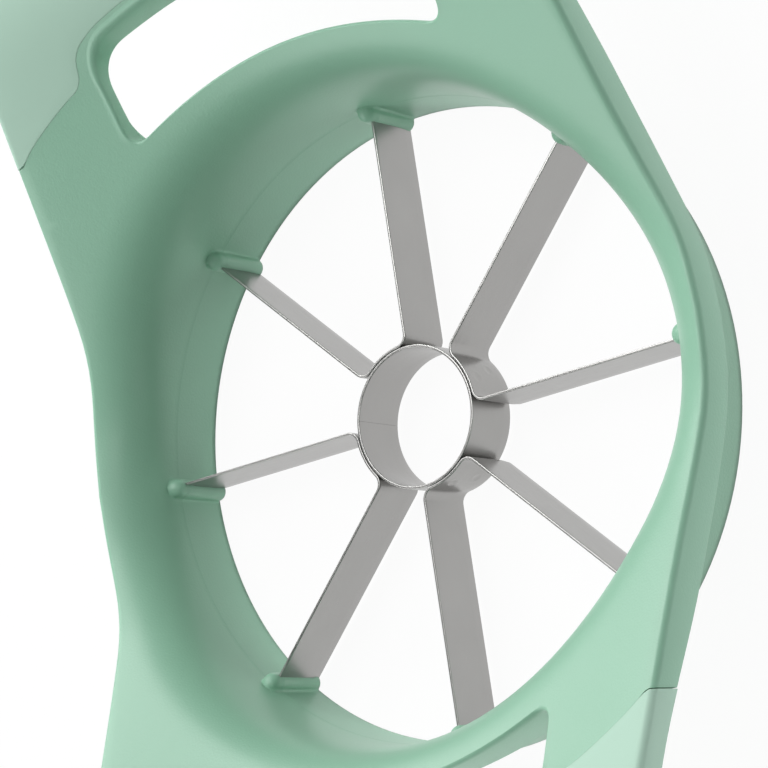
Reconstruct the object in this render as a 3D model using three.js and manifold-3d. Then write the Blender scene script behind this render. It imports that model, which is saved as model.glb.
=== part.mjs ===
// Apple slicer: a moulded frame with two looped handles, a round bore with eight
// blade arms on a hollow core, and soft grips on the handles.
//
// Millimetres, +Z up. The frame stands on its round foot at Z = 0, with the bore's
// axis on Z. The handles lie along X and the narrow waist of the frame along Y.
// The user pushes down from +Z and the sharp edges face -Z.

import * as THREE from "three";
import { mergeVertices } from "three/addons/utils/BufferGeometryUtils.js";
import Module from "manifold-3d";

const wasm = await Module();
wasm.setup();

// Core and blade strips
const CORE_DIAMETER = 24;
const CORE_WALL = 0.5;
const SEAM_GAP = 0.15;
const SEAM_ANGLE_DEG = 80;
const STRIP_THICKNESS = 0.45;
const STRIP_WIDTH = 10.7;
const STRIP_LIFT = 0.5;
const STRIP_BEND_RADIUS = 2;
const STRIP_ARM_OFFSET = 0.44;
const ARM_END_INSET = 1.2;
const GRIND_HEIGHT = 1.8;
const EDGE_LAND = 0.12;
const WELD_GAP = 0.1;
const PAIRS = 4;

// Bore, skirt and foot
const BORE_RADIUS = 53.4;
const BORE_DRAFT = 0.15;
const SKIRT_WALL = 2.4;
const PARTING_DROP = 1;
const FLARE_WIDTH_WAIST = 11;
const FLARE_WIDTH_HANDLE = 10;
const FLARE_POWER_WAIST = 2.2;
const FLARE_POWER_HANDLE = 4.4;
const FLARE_POWER_FOCUS = 5.8;

// Plan of the frame
const RING_WIDTH = 9.2;
const WAIST_BULGE_LENGTH = 20;
const ARM_SPREAD = 5.6;
const ARM_TAPER_SHARE = 0.045;
const ARM_CURVE = 1250;
const BAR_WIDTH = 34;
const HANDLE_CORNER = 28;
const HANDLE_CORNER_POWER = 2.5;

// Finger slots
const RING_BESIDE_SLOT = 7.7;
const SLOT_RING_CURVE = 72;
const SLOT_LENGTH = 12.9;
const SLOT_FAR_CURVE = 111;
const ARM_WIDTH = 25.4;
const SLOT_RING_CORNER = 3.6;
const SLOT_FAR_CORNER = 5.5;
const SLOT_DRAFT = 0.3;

// Heights of the top face, from the tops of the blades
const WAIST_RISE = 11.3;
const FLAT_HALF_LENGTH = 8;
const ARM_SLOPE_DEG = 25.9;
const LOWER_SWEEP = 48;
const UPPER_SWEEP = 60;
const SLOPE_STOP = 2;
const DISH_DEPTH = 8.8;
const DISH_ROUND_POWER = 1.25;
const DISH_RUN = 10;
const DISH_LEFT_SHARE = 0.2;

// Thickness of the frame's plate
const PLATE_THICKNESS = 6.6;
const ARM_SWELL = 1.3;
const ARM_SWELL_START = 10;
const ARM_SWELL_RUN = 25;
const ARM_THINNING = 2.2;
const ARM_THINNING_BEFORE = 23;
const ARM_THINNING_AFTER = 3;
const DISH_THINNING_SHARE = 0.58;
const THINNING_HOLD = 3;
const THINNING_RUN = 4;
const BAR_SWELL = 4;
const BAR_SWELL_SHIFT_SHARE = 0.07;
const RING_WEB = 6.5;
const RING_WEB_RUN = 7;
const RING_WEB_ANGLE_DEG = 36;
const RING_WEB_FADE_DEG = 16;
const EDGE_FILLET = 1;
const UNDER_FILLET = 0.5;
const SLOT_FILLET = 1.3;
const SKIRT_FILLET = 1.2;
const FACE_MARGIN = 0.8;
const FILLET_MAX_SHARE = 0.45;

// Blade bosses on the bore's wall
const BOSS_WIDTH = 3.4;
const BOSS_REACH = 2.2;
const BOSS_TOP = 1.2;
const BOSS_ROOT = 1.6;
const BOSS_DOME_SHARE = 0.95;
const BOSS_FOOT_ROUND = 1.1;
const BOSS_FOOT_SHARE = 0.65;
const POCKET_GAP = 0.3;

// Soft grips
const GRIP_THICKNESS = 1.8;
const GRIP_GAP = 0.3;
const GRIP_PROUD = 0.1;
const GRIP_RIM = 1.8;
const GRIP_ARM_BACK = 7.3;
const GRIP_ARM_RISE = 24;
const GRIP_KNEE_RISE = 8;
const GRIP_CORNER_RISE = 3.4;
const GRIP_CORNER_RUN = 3.4;
const GRIP_INNER_RISE = 2.1;
const GRIP_INNER_RUN = 8;
const GRIP_INNER_DROP = 3;

// Spare length of every cutting body, and the width of slivers that a cut may leave
const OVERRUN = 5;
const SLIVER = 0.02;

// Facet counts, and how the rows of a face gather towards the slot
const LINK_ANGLE_DEG = 42;
const CREST_STEPS = 10;
const WAIST_STEPS = 7;
const LINK_STEPS = 3;
const OUTLINE_STEPS = 16;
const FACE_ROWS = 3;
const FACE_ROW_POWER = 1.3;
const FLARE_ROWS = 6;
const FILLET_ROWS = 3;
const BOSS_STEPS = 7;
const BOSS_ROWS = 2;
const CORE_STEPS = 52;
const HOLD_STEPS = 4;
const BEND_STEPS = 5;
const GRIP_STEPS = 4;
const GRIP_CUTS = 1;
const CUT_SHARE = 0.25;
const LINE_STEPS = 240;
const SEARCH_STEPS = 40;
const MERGE_DISTANCE = 1e-4;

const DEG = Math.PI / 180;
const BLADE_TOP = STRIP_LIFT + STRIP_WIDTH;
const PARTING_Z = BLADE_TOP - PARTING_DROP;
const LINK_ANGLE = LINK_ANGLE_DEG * DEG;
const QUARTER = Math.PI / 2;
const ARM_PITCH = Math.PI / PAIRS;
const ARM_END_RADIUS = BORE_RADIUS - ARM_END_INSET;
const ARM_HALF_WIDTH = BORE_RADIUS + ARM_SPREAD;
const SLOT_RING_X = BORE_RADIUS + RING_BESIDE_SLOT;
const SLOT_FAR_X = SLOT_RING_X + SLOT_LENGTH;
const SLOT_HALF_WIDTH = ARM_HALF_WIDTH - ARM_WIDTH;
const HALF_LENGTH = SLOT_FAR_X + BAR_WIDTH;
const HANDLE_CORNER_START = HALF_LENGTH - HANDLE_CORNER;
const SLOPE_END = SLOT_FAR_X - SLOPE_STOP;

const clamp01 = (v) => Math.min(1, Math.max(0, v));
const smooth = (v) => clamp01(v) ** 2 * (3 - 2 * clamp01(v));
const mix = (a, b, t) => a + (b - a) * t;
const between = (v, start, end) => smooth((v - start) / (end - start));

// Half width of the frame's plan at the distance p along the handle axis.
function halfWidth(p) {
  const bulge = (RING_WIDTH - ARM_SPREAD) / (1 + (p / WAIST_BULGE_LENGTH) ** 4);
  return ARM_HALF_WIDTH - ARM_TAPER_SHARE * p - (p * p) / (2 * ARM_CURVE) + bulge;
}

// Height of the frame's outer edge over the blade tops: level at the waist, swept up
// to a straight slope along the arms, and swept level again at the handles.
function edgeRise(p) {
  const slope = ARM_SLOPE_DEG * DEG;
  const sweepEnd = FLAT_HALF_LENGTH + LOWER_SWEEP * Math.sin(slope);
  const a = clamp01((p - FLAT_HALF_LENGTH) / (sweepEnd - FLAT_HALF_LENGTH)) * Math.sin(slope);
  const lower = LOWER_SWEEP * (1 - Math.sqrt(1 - a * a));
  const straight = Math.tan(slope) * Math.max(0, Math.min(p, SLOPE_END) - sweepEnd);
  const run = Math.min(Math.max(0, p - SLOPE_END), UPPER_SWEEP * Math.sin(slope));
  const b = Math.sin(slope) - run / UPPER_SWEEP;
  const upper = UPPER_SWEEP * (Math.sqrt(1 - b * b) - Math.cos(slope));
  return WAIST_RISE + lower + straight + upper;
}

// How far the face dips below its outer edge.
function dish(x, y) {
  const across = Math.max(0, 1 - (y / halfWidth(Math.abs(x))) ** 2) ** DISH_ROUND_POWER;
  const fade = between(Math.abs(x), SLOT_RING_X, SLOT_FAR_X + DISH_RUN);
  return DISH_DEPTH * across * mix(1, DISH_LEFT_SHARE, fade);
}

// Height of the top surface: a quarter superellipse out of the bore that runs into the
// face. It is round at the waist and fuller towards the handles.
function topHeight(x, y) {
  const r = Math.hypot(x, y);
  const across = Math.abs(y) / r;
  const width = mix(FLARE_WIDTH_HANDLE, FLARE_WIDTH_WAIST, across * across);
  const power = mix(FLARE_POWER_HANDLE, FLARE_POWER_WAIST, across ** FLARE_POWER_FOCUS);
  const out = clamp01((r - BORE_RADIUS - BORE_DRAFT) / width);
  const face = BLADE_TOP + edgeRise(Math.abs(x)) - dish(x, y);
  return PARTING_Z + (face - PARTING_Z) * (1 - (1 - out) ** power) ** (1 / power);
}

// Thickness of the plate: it swells along the arms, thins before the handles and where
// the face dips, swells again under the handle bar, and has a deeper web where the ring
// borders a finger slot.
function thickness(x, y) {
  const r = Math.hypot(x, y);
  const p = Math.abs(x);
  const off = Math.abs(Math.atan2(Math.abs(y), p)) / DEG;
  const near = 1 - between(r, SLOT_RING_X, SLOT_RING_X + RING_WEB_RUN);
  const facing = 1 - smooth((off - RING_WEB_ANGLE_DEG) / RING_WEB_FADE_DEG);
  const along = mix(BAR_SWELL_SHIFT_SHARE, 1, clamp01((p - SLOT_FAR_X) / BAR_WIDTH));
  const onBar = between(p, SLOT_RING_X, SLOT_FAR_X);
  const middle = 1 - clamp01(Math.abs(y) / halfWidth(p)) ** 2;
  const swell = BAR_SWELL * Math.sin(Math.PI * along) * onBar * middle;
  const armSwell = ARM_SWELL * between(p, ARM_SWELL_START, ARM_SWELL_START + ARM_SWELL_RUN);
  const armEnd = between(p, SLOT_RING_X - ARM_THINNING_BEFORE, SLOT_RING_X + ARM_THINNING_AFTER);
  const beforeBar = 1 - between(p, SLOT_RING_X + THINNING_HOLD, SLOT_FAR_X + THINNING_RUN);
  const thinning = DISH_THINNING_SHARE * dish(x, y) * beforeBar;
  const plate = PLATE_THICKNESS + armSwell - ARM_THINNING * armEnd - thinning;
  return plate + RING_WEB * near * facing + swell;
}

const underHeight = (x, y) => topHeight(x, y) - thickness(x, y);

// A dense line with even spacing: at(t) gives a point at the share t of its length.
function evenLine(points) {
  const sums = [0];
  for (let i = 1; i < points.length; i += 1) {
    sums.push(sums[i - 1] + points[i].distanceTo(points[i - 1]));
  }
  const total = sums[sums.length - 1];
  const at = (t) => {
    const s = clamp01(t) * total;
    let i = 1;
    while (i < sums.length - 1 && sums[i] < s) {
      i += 1;
    }
    const f = (s - sums[i - 1]) / (sums[i] - sums[i - 1]);
    return points[i - 1].clone().lerp(points[i], f);
  };
  return { at, total };
}

// Quarter of the outer outline, from the waist to the handle's end, moved in by inset.
function outlineLine(inset) {
  const raw = [];
  for (let i = 0; i <= LINE_STEPS; i += 1) {
    const p = (HANDLE_CORNER_START * i) / LINE_STEPS;
    raw.push(new THREE.Vector2(p, halfWidth(p)));
  }
  const side = halfWidth(HANDLE_CORNER_START);
  for (let i = 1; i <= LINE_STEPS; i += 1) {
    const t = (QUARTER * i) / LINE_STEPS;
    const across = Math.max(0, Math.cos(t)) ** (2 / HANDLE_CORNER_POWER);
    const along = Math.sin(t) ** (2 / HANDLE_CORNER_POWER);
    const p = HANDLE_CORNER_START + HANDLE_CORNER * along;
    raw.push(new THREE.Vector2(p, i === LINE_STEPS ? 0 : side * across));
  }
  return insetLine(raw, inset);
}

// Quarter outline of a finger slot, from the ring side to the far side, opened by grow.
function slotLine(grow) {
  const ringSide = (y) => new THREE.Vector2(SLOT_RING_X - (y * y) / (2 * SLOT_RING_CURVE), y);
  const farSide = (y) => new THREE.Vector2(SLOT_FAR_X - (y * y) / (2 * SLOT_FAR_CURVE), y);
  const raw = [];
  const ringEnd = SLOT_HALF_WIDTH - SLOT_RING_CORNER;
  const farEnd = SLOT_HALF_WIDTH - SLOT_FAR_CORNER;
  const cornerA = ringSide(SLOT_HALF_WIDTH);
  const cornerB = farSide(SLOT_HALF_WIDTH);
  const bend = (from, corner, to) => new THREE.QuadraticBezierCurve(from, corner, to).getPoints(LINE_STEPS / 8);
  for (let i = 0; i < LINE_STEPS; i += 1) {
    raw.push(ringSide((ringEnd * i) / LINE_STEPS));
  }
  raw.push(...bend(ringSide(ringEnd), cornerA, new THREE.Vector2(cornerA.x + SLOT_RING_CORNER, cornerA.y)));
  raw.push(...bend(new THREE.Vector2(cornerB.x - SLOT_FAR_CORNER, cornerB.y), cornerB, farSide(farEnd)));
  for (let i = LINE_STEPS - 1; i >= 0; i -= 1) {
    raw.push(farSide((farEnd * i) / LINE_STEPS));
  }
  return insetLine(raw, -grow);
}

// Moves a line along its right-hand normals; both its ends keep their place along the
// mirror planes.
function insetLine(points, inset) {
  const moved = points.map((p, i) => {
    const a = points[Math.max(0, i - 1)];
    const b = points[Math.min(points.length - 1, i + 1)];
    const dir = b.clone().sub(a).normalize();
    return new THREE.Vector2(p.x + dir.y * inset, p.y - dir.x * inset);
  });
  const last = moved.length - 1;
  moved[0].set(points[0].x === 0 ? 0 : moved[0].x, points[0].y === 0 ? 0 : moved[0].y);
  moved[last].y = 0;
  return evenLine(moved);
}

// Collects triangles of one quarter, and closes the body by mirroring it.
class QuarterBody {
  constructor() {
    this.triangles = [];
  }

  // A grid of points; rows run along the first index. Faces follow right-hand order.
  patch(grid) {
    for (let i = 0; i + 1 < grid.length; i += 1) {
      for (let j = 0; j + 1 < grid[i].length; j += 1) {
        const [a, b, c, d] = [grid[i][j], grid[i + 1][j], grid[i + 1][j + 1], grid[i][j + 1]];
        this.triangles.push([a, b, c], [a, c, d]);
      }
    }
  }

  geometry() {
    const positions = [];
    for (const [sx, sy] of [[1, 1], [-1, 1], [-1, -1], [1, -1]]) {
      const order = sx * sy > 0 ? [0, 1, 2] : [0, 2, 1];
      for (const triangle of this.triangles) {
        for (const k of order) {
          const p = triangle[k];
          positions.push(p.x * sx, p.y * sy, p.z);
        }
      }
    }
    const geometry = new THREE.BufferGeometry();
    geometry.setAttribute("position", new THREE.Float32BufferAttribute(positions, 3));
    return geometry;
  }
}

// A closed solid from a geometry whose faces point out.
function solid(geometry) {
  const bare = geometry.clone();
  for (const name of Object.keys(bare.attributes)) {
    if (name !== "position") {
      bare.deleteAttribute(name);
    }
  }
  const merged = mergeVertices(bare, MERGE_DISTANCE);
  const index = Array.from(merged.index.array);
  const kept = [];
  for (let i = 0; i < index.length; i += 3) {
    const [a, b, c] = index.slice(i, i + 3);
    if (a !== b && b !== c && c !== a) {
      kept.push(a, b, c);
    }
  }
  return new wasm.Manifold(new wasm.Mesh({
    numProp: 3,
    vertProperties: Float32Array.from(merged.attributes.position.array),
    triVerts: Uint32Array.from(kept),
  }));
}

function toGeometry(body) {
  const mesh = body.simplify(SLIVER).getMesh();
  const geometry = new THREE.BufferGeometry();
  geometry.setAttribute("position", new THREE.BufferAttribute(new Float32Array(mesh.vertProperties), 3));
  geometry.setIndex(new THREE.BufferAttribute(new Uint32Array(mesh.triVerts), 1));
  const faceted = geometry.toNonIndexed();
  faceted.computeVertexNormals();
  return faceted;
}

// Closed body from rings of points with equal counts; both ends are closed flat.
function loftRings(rings) {
  const positions = [];
  const triangle = (a, b, c) => positions.push(a.x, a.y, a.z, b.x, b.y, b.z, c.x, c.y, c.z);
  const count = rings[0].length;
  for (let i = 0; i + 1 < rings.length; i += 1) {
    for (let j = 0; j < count; j += 1) {
      const [a, b] = [rings[i][j], rings[i][(j + 1) % count]];
      const [c, d] = [rings[i + 1][(j + 1) % count], rings[i + 1][j]];
      triangle(a, b, c);
      triangle(a, c, d);
    }
  }
  const first = rings[0];
  const last = rings[rings.length - 1];
  for (let j = 1; j + 1 < count; j += 1) {
    triangle(first[0], first[j + 1], first[j]);
    triangle(last[0], last[j], last[j + 1]);
  }
  const geometry = new THREE.BufferGeometry();
  geometry.setAttribute("position", new THREE.Float32BufferAttribute(positions, 3));
  return geometry;
}

// The frame's body without bosses. A positive inset gives the smaller body that lies
// under the soft grips.
function frameBody(inset) {
  const body = new QuarterBody();
  const topZ = (x, y) => topHeight(x, y) - inset;
  const underZ = (x, y) => underHeight(x, y) + inset;
  const on = (p, height) => new THREE.Vector3(p.x, p.y, height(p.x, p.y));

  const outlineTop = outlineLine(inset + EDGE_FILLET);
  const slotEdge = slotLine(SLOT_FILLET);
  const bore = BORE_RADIUS + BORE_DRAFT;
  const skirt = BORE_RADIUS + SKIRT_WALL;

  // Columns round the bore: from the handle axis to the link line, then to the waist.
  const angles = [];
  for (let i = 0; i <= CREST_STEPS; i += 1) {
    angles.push((LINK_ANGLE * i) / CREST_STEPS);
  }
  for (let i = 1; i < WAIST_STEPS; i += 1) {
    angles.push(mix(LINK_ANGLE, QUARTER, i / WAIST_STEPS));
  }
  angles.push(QUARTER);
  const polar = (r, a) => new THREE.Vector2(a === QUARTER ? 0 : r * Math.cos(a), r * Math.sin(a));
  const slotTop = slotEdge.at(0).x - FACE_MARGIN;
  const waistTop = outlineTop.at(0).y - FACE_MARGIN;
  const crestRadius = (a) => mix(slotTop, waistTop, Math.sin(a) ** 2);
  const filletRadius = skirt + SKIRT_FILLET;

  // Columns along the outline: from the waist to the link line, then to the handle.
  const linkShare = shareAtAngle(outlineTop, LINK_ANGLE);
  const outlineShares = [];
  for (let i = 0; i <= WAIST_STEPS; i += 1) {
    outlineShares.push((linkShare * i) / WAIST_STEPS);
  }
  for (let i = 1; i <= OUTLINE_STEPS; i += 1) {
    outlineShares.push(mix(linkShare, 1, i / OUTLINE_STEPS));
  }

  wallAndFlare(body, angles, crestRadius, topZ, bore);
  skirtAndFoot(body, angles, filletRadius, skirt, underZ);

  // Faces between the ring and the outline, above and below, beside the waist.
  const waistFace = (inner, height) => {
    const grid = [];
    for (let i = 0; i <= WAIST_STEPS; i += 1) {
      const a = angles[CREST_STEPS + i];
      const from = polar(inner(a), a);
      const to = outlineTop.at(outlineShares[WAIST_STEPS - i]);
      const row = [];
      for (let j = 0; j <= LINK_STEPS; j += 1) {
        row.push(on(from.clone().lerp(to, j / LINK_STEPS), height));
      }
      grid.push(row);
    }
    return grid;
  };
  body.patch(flip(waistFace(crestRadius, topZ)));
  body.patch(waistFace(() => filletRadius, underZ));

  // Faces round the slot: each column joins the slot's edge to the loop around it.
  const loop = (inner) => {
    const points = [];
    for (let i = 0; i <= CREST_STEPS; i += 1) {
      points.push(polar(inner(angles[i]), angles[i]));
    }
    const from = points[CREST_STEPS];
    const to = outlineTop.at(linkShare);
    for (let j = 1; j <= LINK_STEPS; j += 1) {
      points.push(from.clone().lerp(to, j / LINK_STEPS));
    }
    for (let i = 1; i <= OUTLINE_STEPS; i += 1) {
      points.push(outlineTop.at(outlineShares[WAIST_STEPS + i]));
    }
    return points;
  };
  const slotColumns = loop(crestRadius).length - 1;
  const slotShares = [];
  for (let i = 0; i <= slotColumns; i += 1) {
    slotShares.push(slotShare(i));
  }
  const roundSlot = (outer, height) => outer.map((p, i) => {
    const edge = slotEdge.at(slotShares[i]);
    const row = [];
    for (let j = 0; j <= FACE_ROWS; j += 1) {
      row.push(on(edge.clone().lerp(p, (j / FACE_ROWS) ** FACE_ROW_POWER), height));
    }
    return row;
  });
  body.patch(roundSlot(loop(crestRadius), topZ));
  body.patch(flip(roundSlot(loop(() => filletRadius), underZ)));

  // Rounded rims of the outline and of the slot.
  const outlineEdge = outlineLine(inset);
  const outer = [outlineTop, outlineEdge, outlineEdge];
  const inner = [slotEdge, slotLine(0), slotLine(-SLOT_DRAFT)];
  body.patch(rim(outer, outlineShares, EDGE_FILLET, UNDER_FILLET, topZ, underZ));
  body.patch(flip(rim(inner, slotShares, SLOT_FILLET, SLOT_FILLET, topZ, underZ)));
  return body.geometry();
}

// The share of a line's length at which it crosses the direction of an angle.
function shareAtAngle(line, angle) {
  let [low, high] = [0, 1];
  for (let i = 0; i < SEARCH_STEPS; i += 1) {
    const middle = (low + high) / 2;
    const p = line.at(middle);
    if (Math.atan2(p.y, p.x) > angle) {
      low = middle;
    } else {
      high = middle;
    }
  }
  return (low + high) / 2;
}

// Shares of the slot's half outline that face the columns of the loop around it.
function slotShare(i) {
  const line = slotLine(0);
  const corner = (SLOT_HALF_WIDTH - SLOT_RING_CORNER) / line.total;
  const after = corner + (2 * SLOT_RING_CORNER) / line.total;
  if (i <= CREST_STEPS) {
    return (corner * i) / CREST_STEPS;
  }
  if (i <= CREST_STEPS + LINK_STEPS) {
    return mix(corner, after, (i - CREST_STEPS) / LINK_STEPS);
  }
  return mix(after, 1, (i - CREST_STEPS - LINK_STEPS) / OUTLINE_STEPS);
}

const flip = (grid) => grid.map((row) => row.slice().reverse());

// Bore wall from the foot to the parting line, and the flare from there to the crest.
function wallAndFlare(body, angles, crestRadius, topZ, bore) {
  const grid = angles.map((a) => {
    const place = (r, z) => {
      const x = a === QUARTER ? 0 : r * Math.cos(a);
      return new THREE.Vector3(x, r * Math.sin(a), z);
    };
    const row = [place(BORE_RADIUS, 0), place(bore, PARTING_Z)];
    const crest = crestRadius(a);
    for (let j = 1; j <= FLARE_ROWS; j += 1) {
      const r = bore + (crest - bore) * (1 - Math.cos((QUARTER * j) / FLARE_ROWS));
      row.push(place(r, topZ(r * Math.cos(a), r * Math.sin(a))));
    }
    return row;
  });
  body.patch(flip(grid));
}

// Outer skirt from the plate's underside down to the foot, and the foot's flat ring.
function skirtAndFoot(body, angles, filletRadius, skirt, underZ) {
  const grid = angles.map((a) => {
    const place = (r, z) => {
      const x = a === QUARTER ? 0 : r * Math.cos(a);
      return new THREE.Vector3(x, r * Math.sin(a), z);
    };
    const top = underZ(filletRadius * Math.cos(a), filletRadius * Math.sin(a));
    const row = [];
    for (let j = 0; j <= FILLET_ROWS; j += 1) {
      const t = (QUARTER * j) / FILLET_ROWS;
      const r = filletRadius - SKIRT_FILLET * Math.sin(t);
      row.push(place(r, top - SKIRT_FILLET * (1 - Math.cos(t))));
    }
    row.push(place(skirt, 0), place(BORE_RADIUS, 0));
    return row;
  });
  body.patch(flip(grid));
}

// A rim: fillet at the top, wall and fillet at the bottom. The lines are the edge of the
// face, the wall under the top fillet and the wall over the bottom fillet.
function rim(lines, shares, topFillet, underFillet, topZ, underZ) {
  return shares.map((share) => {
    const [from, high, low] = lines.map((line) => line.at(share));
    const top = topZ(from.x, from.y);
    const under = underZ(from.x, from.y);
    const most = (top - under) * FILLET_MAX_SHARE;
    const row = [];
    for (let j = 0; j <= FILLET_ROWS; j += 1) {
      const t = (QUARTER * j) / FILLET_ROWS;
      const p = from.clone().lerp(high, Math.sin(t));
      row.push(new THREE.Vector3(p.x, p.y, top - Math.min(topFillet, most) * (1 - Math.cos(t))));
    }
    for (let j = FILLET_ROWS; j >= 0; j -= 1) {
      const t = (QUARTER * j) / FILLET_ROWS;
      const p = from.clone().lerp(low, Math.sin(t));
      row.push(new THREE.Vector3(p.x, p.y, under + Math.min(underFillet, most) * (1 - Math.cos(t))));
    }
    return row;
  });
}

// One boss: an upright rib with a round nose, a domed top and a rounded foot, rooted in
// the wall.
function bossBody(angle) {
  const half = BOSS_WIDTH / 2;
  const nose = BORE_RADIUS - BOSS_REACH + half;
  const root = BORE_RADIUS + BOSS_ROOT;
  const ring = (radius, z) => {
    const points = [];
    for (let i = 0; i <= BOSS_STEPS; i += 1) {
      const t = QUARTER + (Math.PI * i) / BOSS_STEPS;
      points.push(new THREE.Vector3(nose + radius * Math.cos(t), radius * Math.sin(t), z));
    }
    points.push(new THREE.Vector3(root, -radius, z), new THREE.Vector3(root, radius, z));
    return points;
  };
  const rings = [];
  for (let i = BOSS_ROWS; i >= 0; i -= 1) {
    const t = (BOSS_FOOT_SHARE * QUARTER * i) / BOSS_ROWS;
    const height = 1 - Math.sin(t) / Math.sin(BOSS_FOOT_SHARE * QUARTER);
    rings.push(ring(half * Math.cos(t), BOSS_FOOT_ROUND * height));
  }
  rings.push(ring(half, BLADE_TOP + BOSS_TOP));
  for (let i = 1; i <= BOSS_ROWS; i += 1) {
    const t = (BOSS_DOME_SHARE * QUARTER * i) / BOSS_ROWS;
    rings.push(ring(half * Math.cos(t), BLADE_TOP + BOSS_TOP + half * Math.sin(t)));
  }
  return loftRings(rings).rotateZ(angle);
}

// The pocket in a boss and the wall behind it that holds the end of a blade arm.
function pocketBody(angle, lateral) {
  const depth = ARM_END_RADIUS + POCKET_GAP;
  const mouth = BORE_RADIUS - BOSS_REACH - OVERRUN;
  const height = STRIP_WIDTH + 2 * POCKET_GAP;
  const width = STRIP_THICKNESS + 2 * POCKET_GAP;
  return new THREE.BoxGeometry(depth - mouth, width, height)
    .translate((depth + mouth) / 2, lateral, STRIP_LIFT + STRIP_WIDTH / 2)
    .rotateZ(angle);
}

// The edge of a grip in plan, from the outline to the handle axis: a line through a few
// knots whose corners are cut a few times, so it runs smooth.
function gripEdge() {
  const far = (y) => SLOT_FAR_X - (y * y) / (2 * SLOT_FAR_CURVE) + GRIP_RIM;
  let line = [
    new THREE.Vector2(SLOT_RING_X - GRIP_ARM_BACK, SLOT_HALF_WIDTH + GRIP_ARM_RISE),
    new THREE.Vector2(SLOT_RING_X + GRIP_CORNER_RUN / 2, SLOT_HALF_WIDTH + GRIP_KNEE_RISE),
    new THREE.Vector2(SLOT_RING_X + GRIP_CORNER_RUN, SLOT_HALF_WIDTH + GRIP_CORNER_RISE),
    new THREE.Vector2(SLOT_RING_X + GRIP_INNER_RUN, SLOT_HALF_WIDTH + GRIP_INNER_RISE),
  ];
  const start = SLOT_HALF_WIDTH - GRIP_INNER_DROP;
  for (let i = 0; i <= GRIP_STEPS; i += 1) {
    const y = mix(start, 0, i / GRIP_STEPS);
    line.push(new THREE.Vector2(far(y), y));
  }
  for (let cut = 0; cut < GRIP_CUTS; cut += 1) {
    const inner = line.slice(1).flatMap((p, i) => [
      line[i].clone().lerp(p, CUT_SHARE),
      line[i].clone().lerp(p, 1 - CUT_SHARE),
    ]);
    line = [line[0], ...inner, line[line.length - 1]];
  }
  return line;
}

// The plan of one grip, as a polygon prism. A positive grow makes it larger.
function gripRegion(side, grow) {
  const edge = gripEdge();
  const quarter = edge.slice(0, -1).map((p, i) => {
    const run = edge[i + 1].clone().sub(edge[Math.max(0, i - 1)]).normalize();
    return new THREE.Vector2(p.x + run.y * grow, p.y - run.x * grow);
  });
  const outside = HALF_LENGTH + OVERRUN;
  const reach = ARM_HALF_WIDTH + OVERRUN;
  const mirrored = quarter.slice().reverse().map((p) => new THREE.Vector2(p.x, -p.y));
  const points = [
    new THREE.Vector2(outside, reach),
    new THREE.Vector2(quarter[0].x, reach),
    ...quarter,
    ...mirrored,
    new THREE.Vector2(quarter[0].x, -reach),
    new THREE.Vector2(outside, -reach),
  ];
  const height = BLADE_TOP + edgeRise(HALF_LENGTH) + OVERRUN;
  const geometry = new THREE.ExtrudeGeometry(new THREE.Shape(points), { depth: height, bevelEnabled: false });
  return side > 0 ? geometry : geometry.rotateZ(Math.PI);
}

// A strip on edge along a path in plan, ground to a sharp edge at its foot.
function stripGeometry(path, thick) {
  const half = thick / 2;
  const land = EDGE_LAND / 2;
  const grind = STRIP_LIFT + GRIND_HEIGHT;
  const section = [
    [half, grind],
    [land, STRIP_LIFT],
    [-land, STRIP_LIFT],
    [-half, grind],
    [-half, BLADE_TOP],
    [half, BLADE_TOP],
  ];
  const rings = path.map(({ point, normal }) => section.map(([off, z]) => {
    const p = point.clone().addScaledVector(normal, off);
    return new THREE.Vector3(p.x, p.y, z);
  }));
  return loftRings(rings);
}

// A point and normal on a circle.
function onCircle(centre, radius, angle, outward) {
  const dir = new THREE.Vector2(Math.cos(angle), Math.sin(angle));
  return {
    point: centre.clone().addScaledVector(dir, radius),
    normal: dir.multiplyScalar(outward),
  };
}

// Half of a blade strip: from the middle of its hold on the core, round the bend and out
// along the arm, which lies at the angle zero. The middle lies at minus half a pitch.
function halfStripPath() {
  const hold = CORE_DIAMETER / 2 + WELD_GAP + STRIP_THICKNESS / 2;
  const centreDistance = hold + STRIP_BEND_RADIUS;
  const lateral = STRIP_ARM_OFFSET - STRIP_BEND_RADIUS;
  const bendAngle = Math.asin(lateral / centreDistance);
  const origin = new THREE.Vector2(0, 0);
  const centre = new THREE.Vector2(centreDistance * Math.cos(bendAngle), lateral);
  const path = [];
  for (let i = 0; i < HOLD_STEPS; i += 1) {
    path.push(onCircle(origin, hold, mix(-ARM_PITCH / 2, bendAngle, i / HOLD_STEPS), 1));
  }
  for (let i = 0; i <= BEND_STEPS; i += 1) {
    const angle = mix(bendAngle + Math.PI, QUARTER, i / BEND_STEPS);
    path.push(onCircle(centre, STRIP_BEND_RADIUS, angle, -1));
  }
  const end = path[path.length - 1];
  path.push({ point: new THREE.Vector2(ARM_END_RADIUS, end.point.y), normal: end.normal.clone() });
  return path;
}

function bladeStrip(middle) {
  const upper = halfStripPath();
  const turn = (v, angle) => v.clone().rotateAround(new THREE.Vector2(0, 0), angle);
  const ahead = upper.map(({ point, normal }) => ({
    point: turn(point, middle + ARM_PITCH / 2),
    normal: turn(normal, middle + ARM_PITCH / 2),
  }));
  const behind = upper.slice(1).reverse().map(({ point, normal }) => ({
    point: turn(new THREE.Vector2(point.x, -point.y), middle - ARM_PITCH / 2),
    normal: turn(new THREE.Vector2(normal.x, -normal.y), middle - ARM_PITCH / 2),
  }));
  return stripGeometry([...behind, ...ahead], STRIP_THICKNESS);
}

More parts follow.
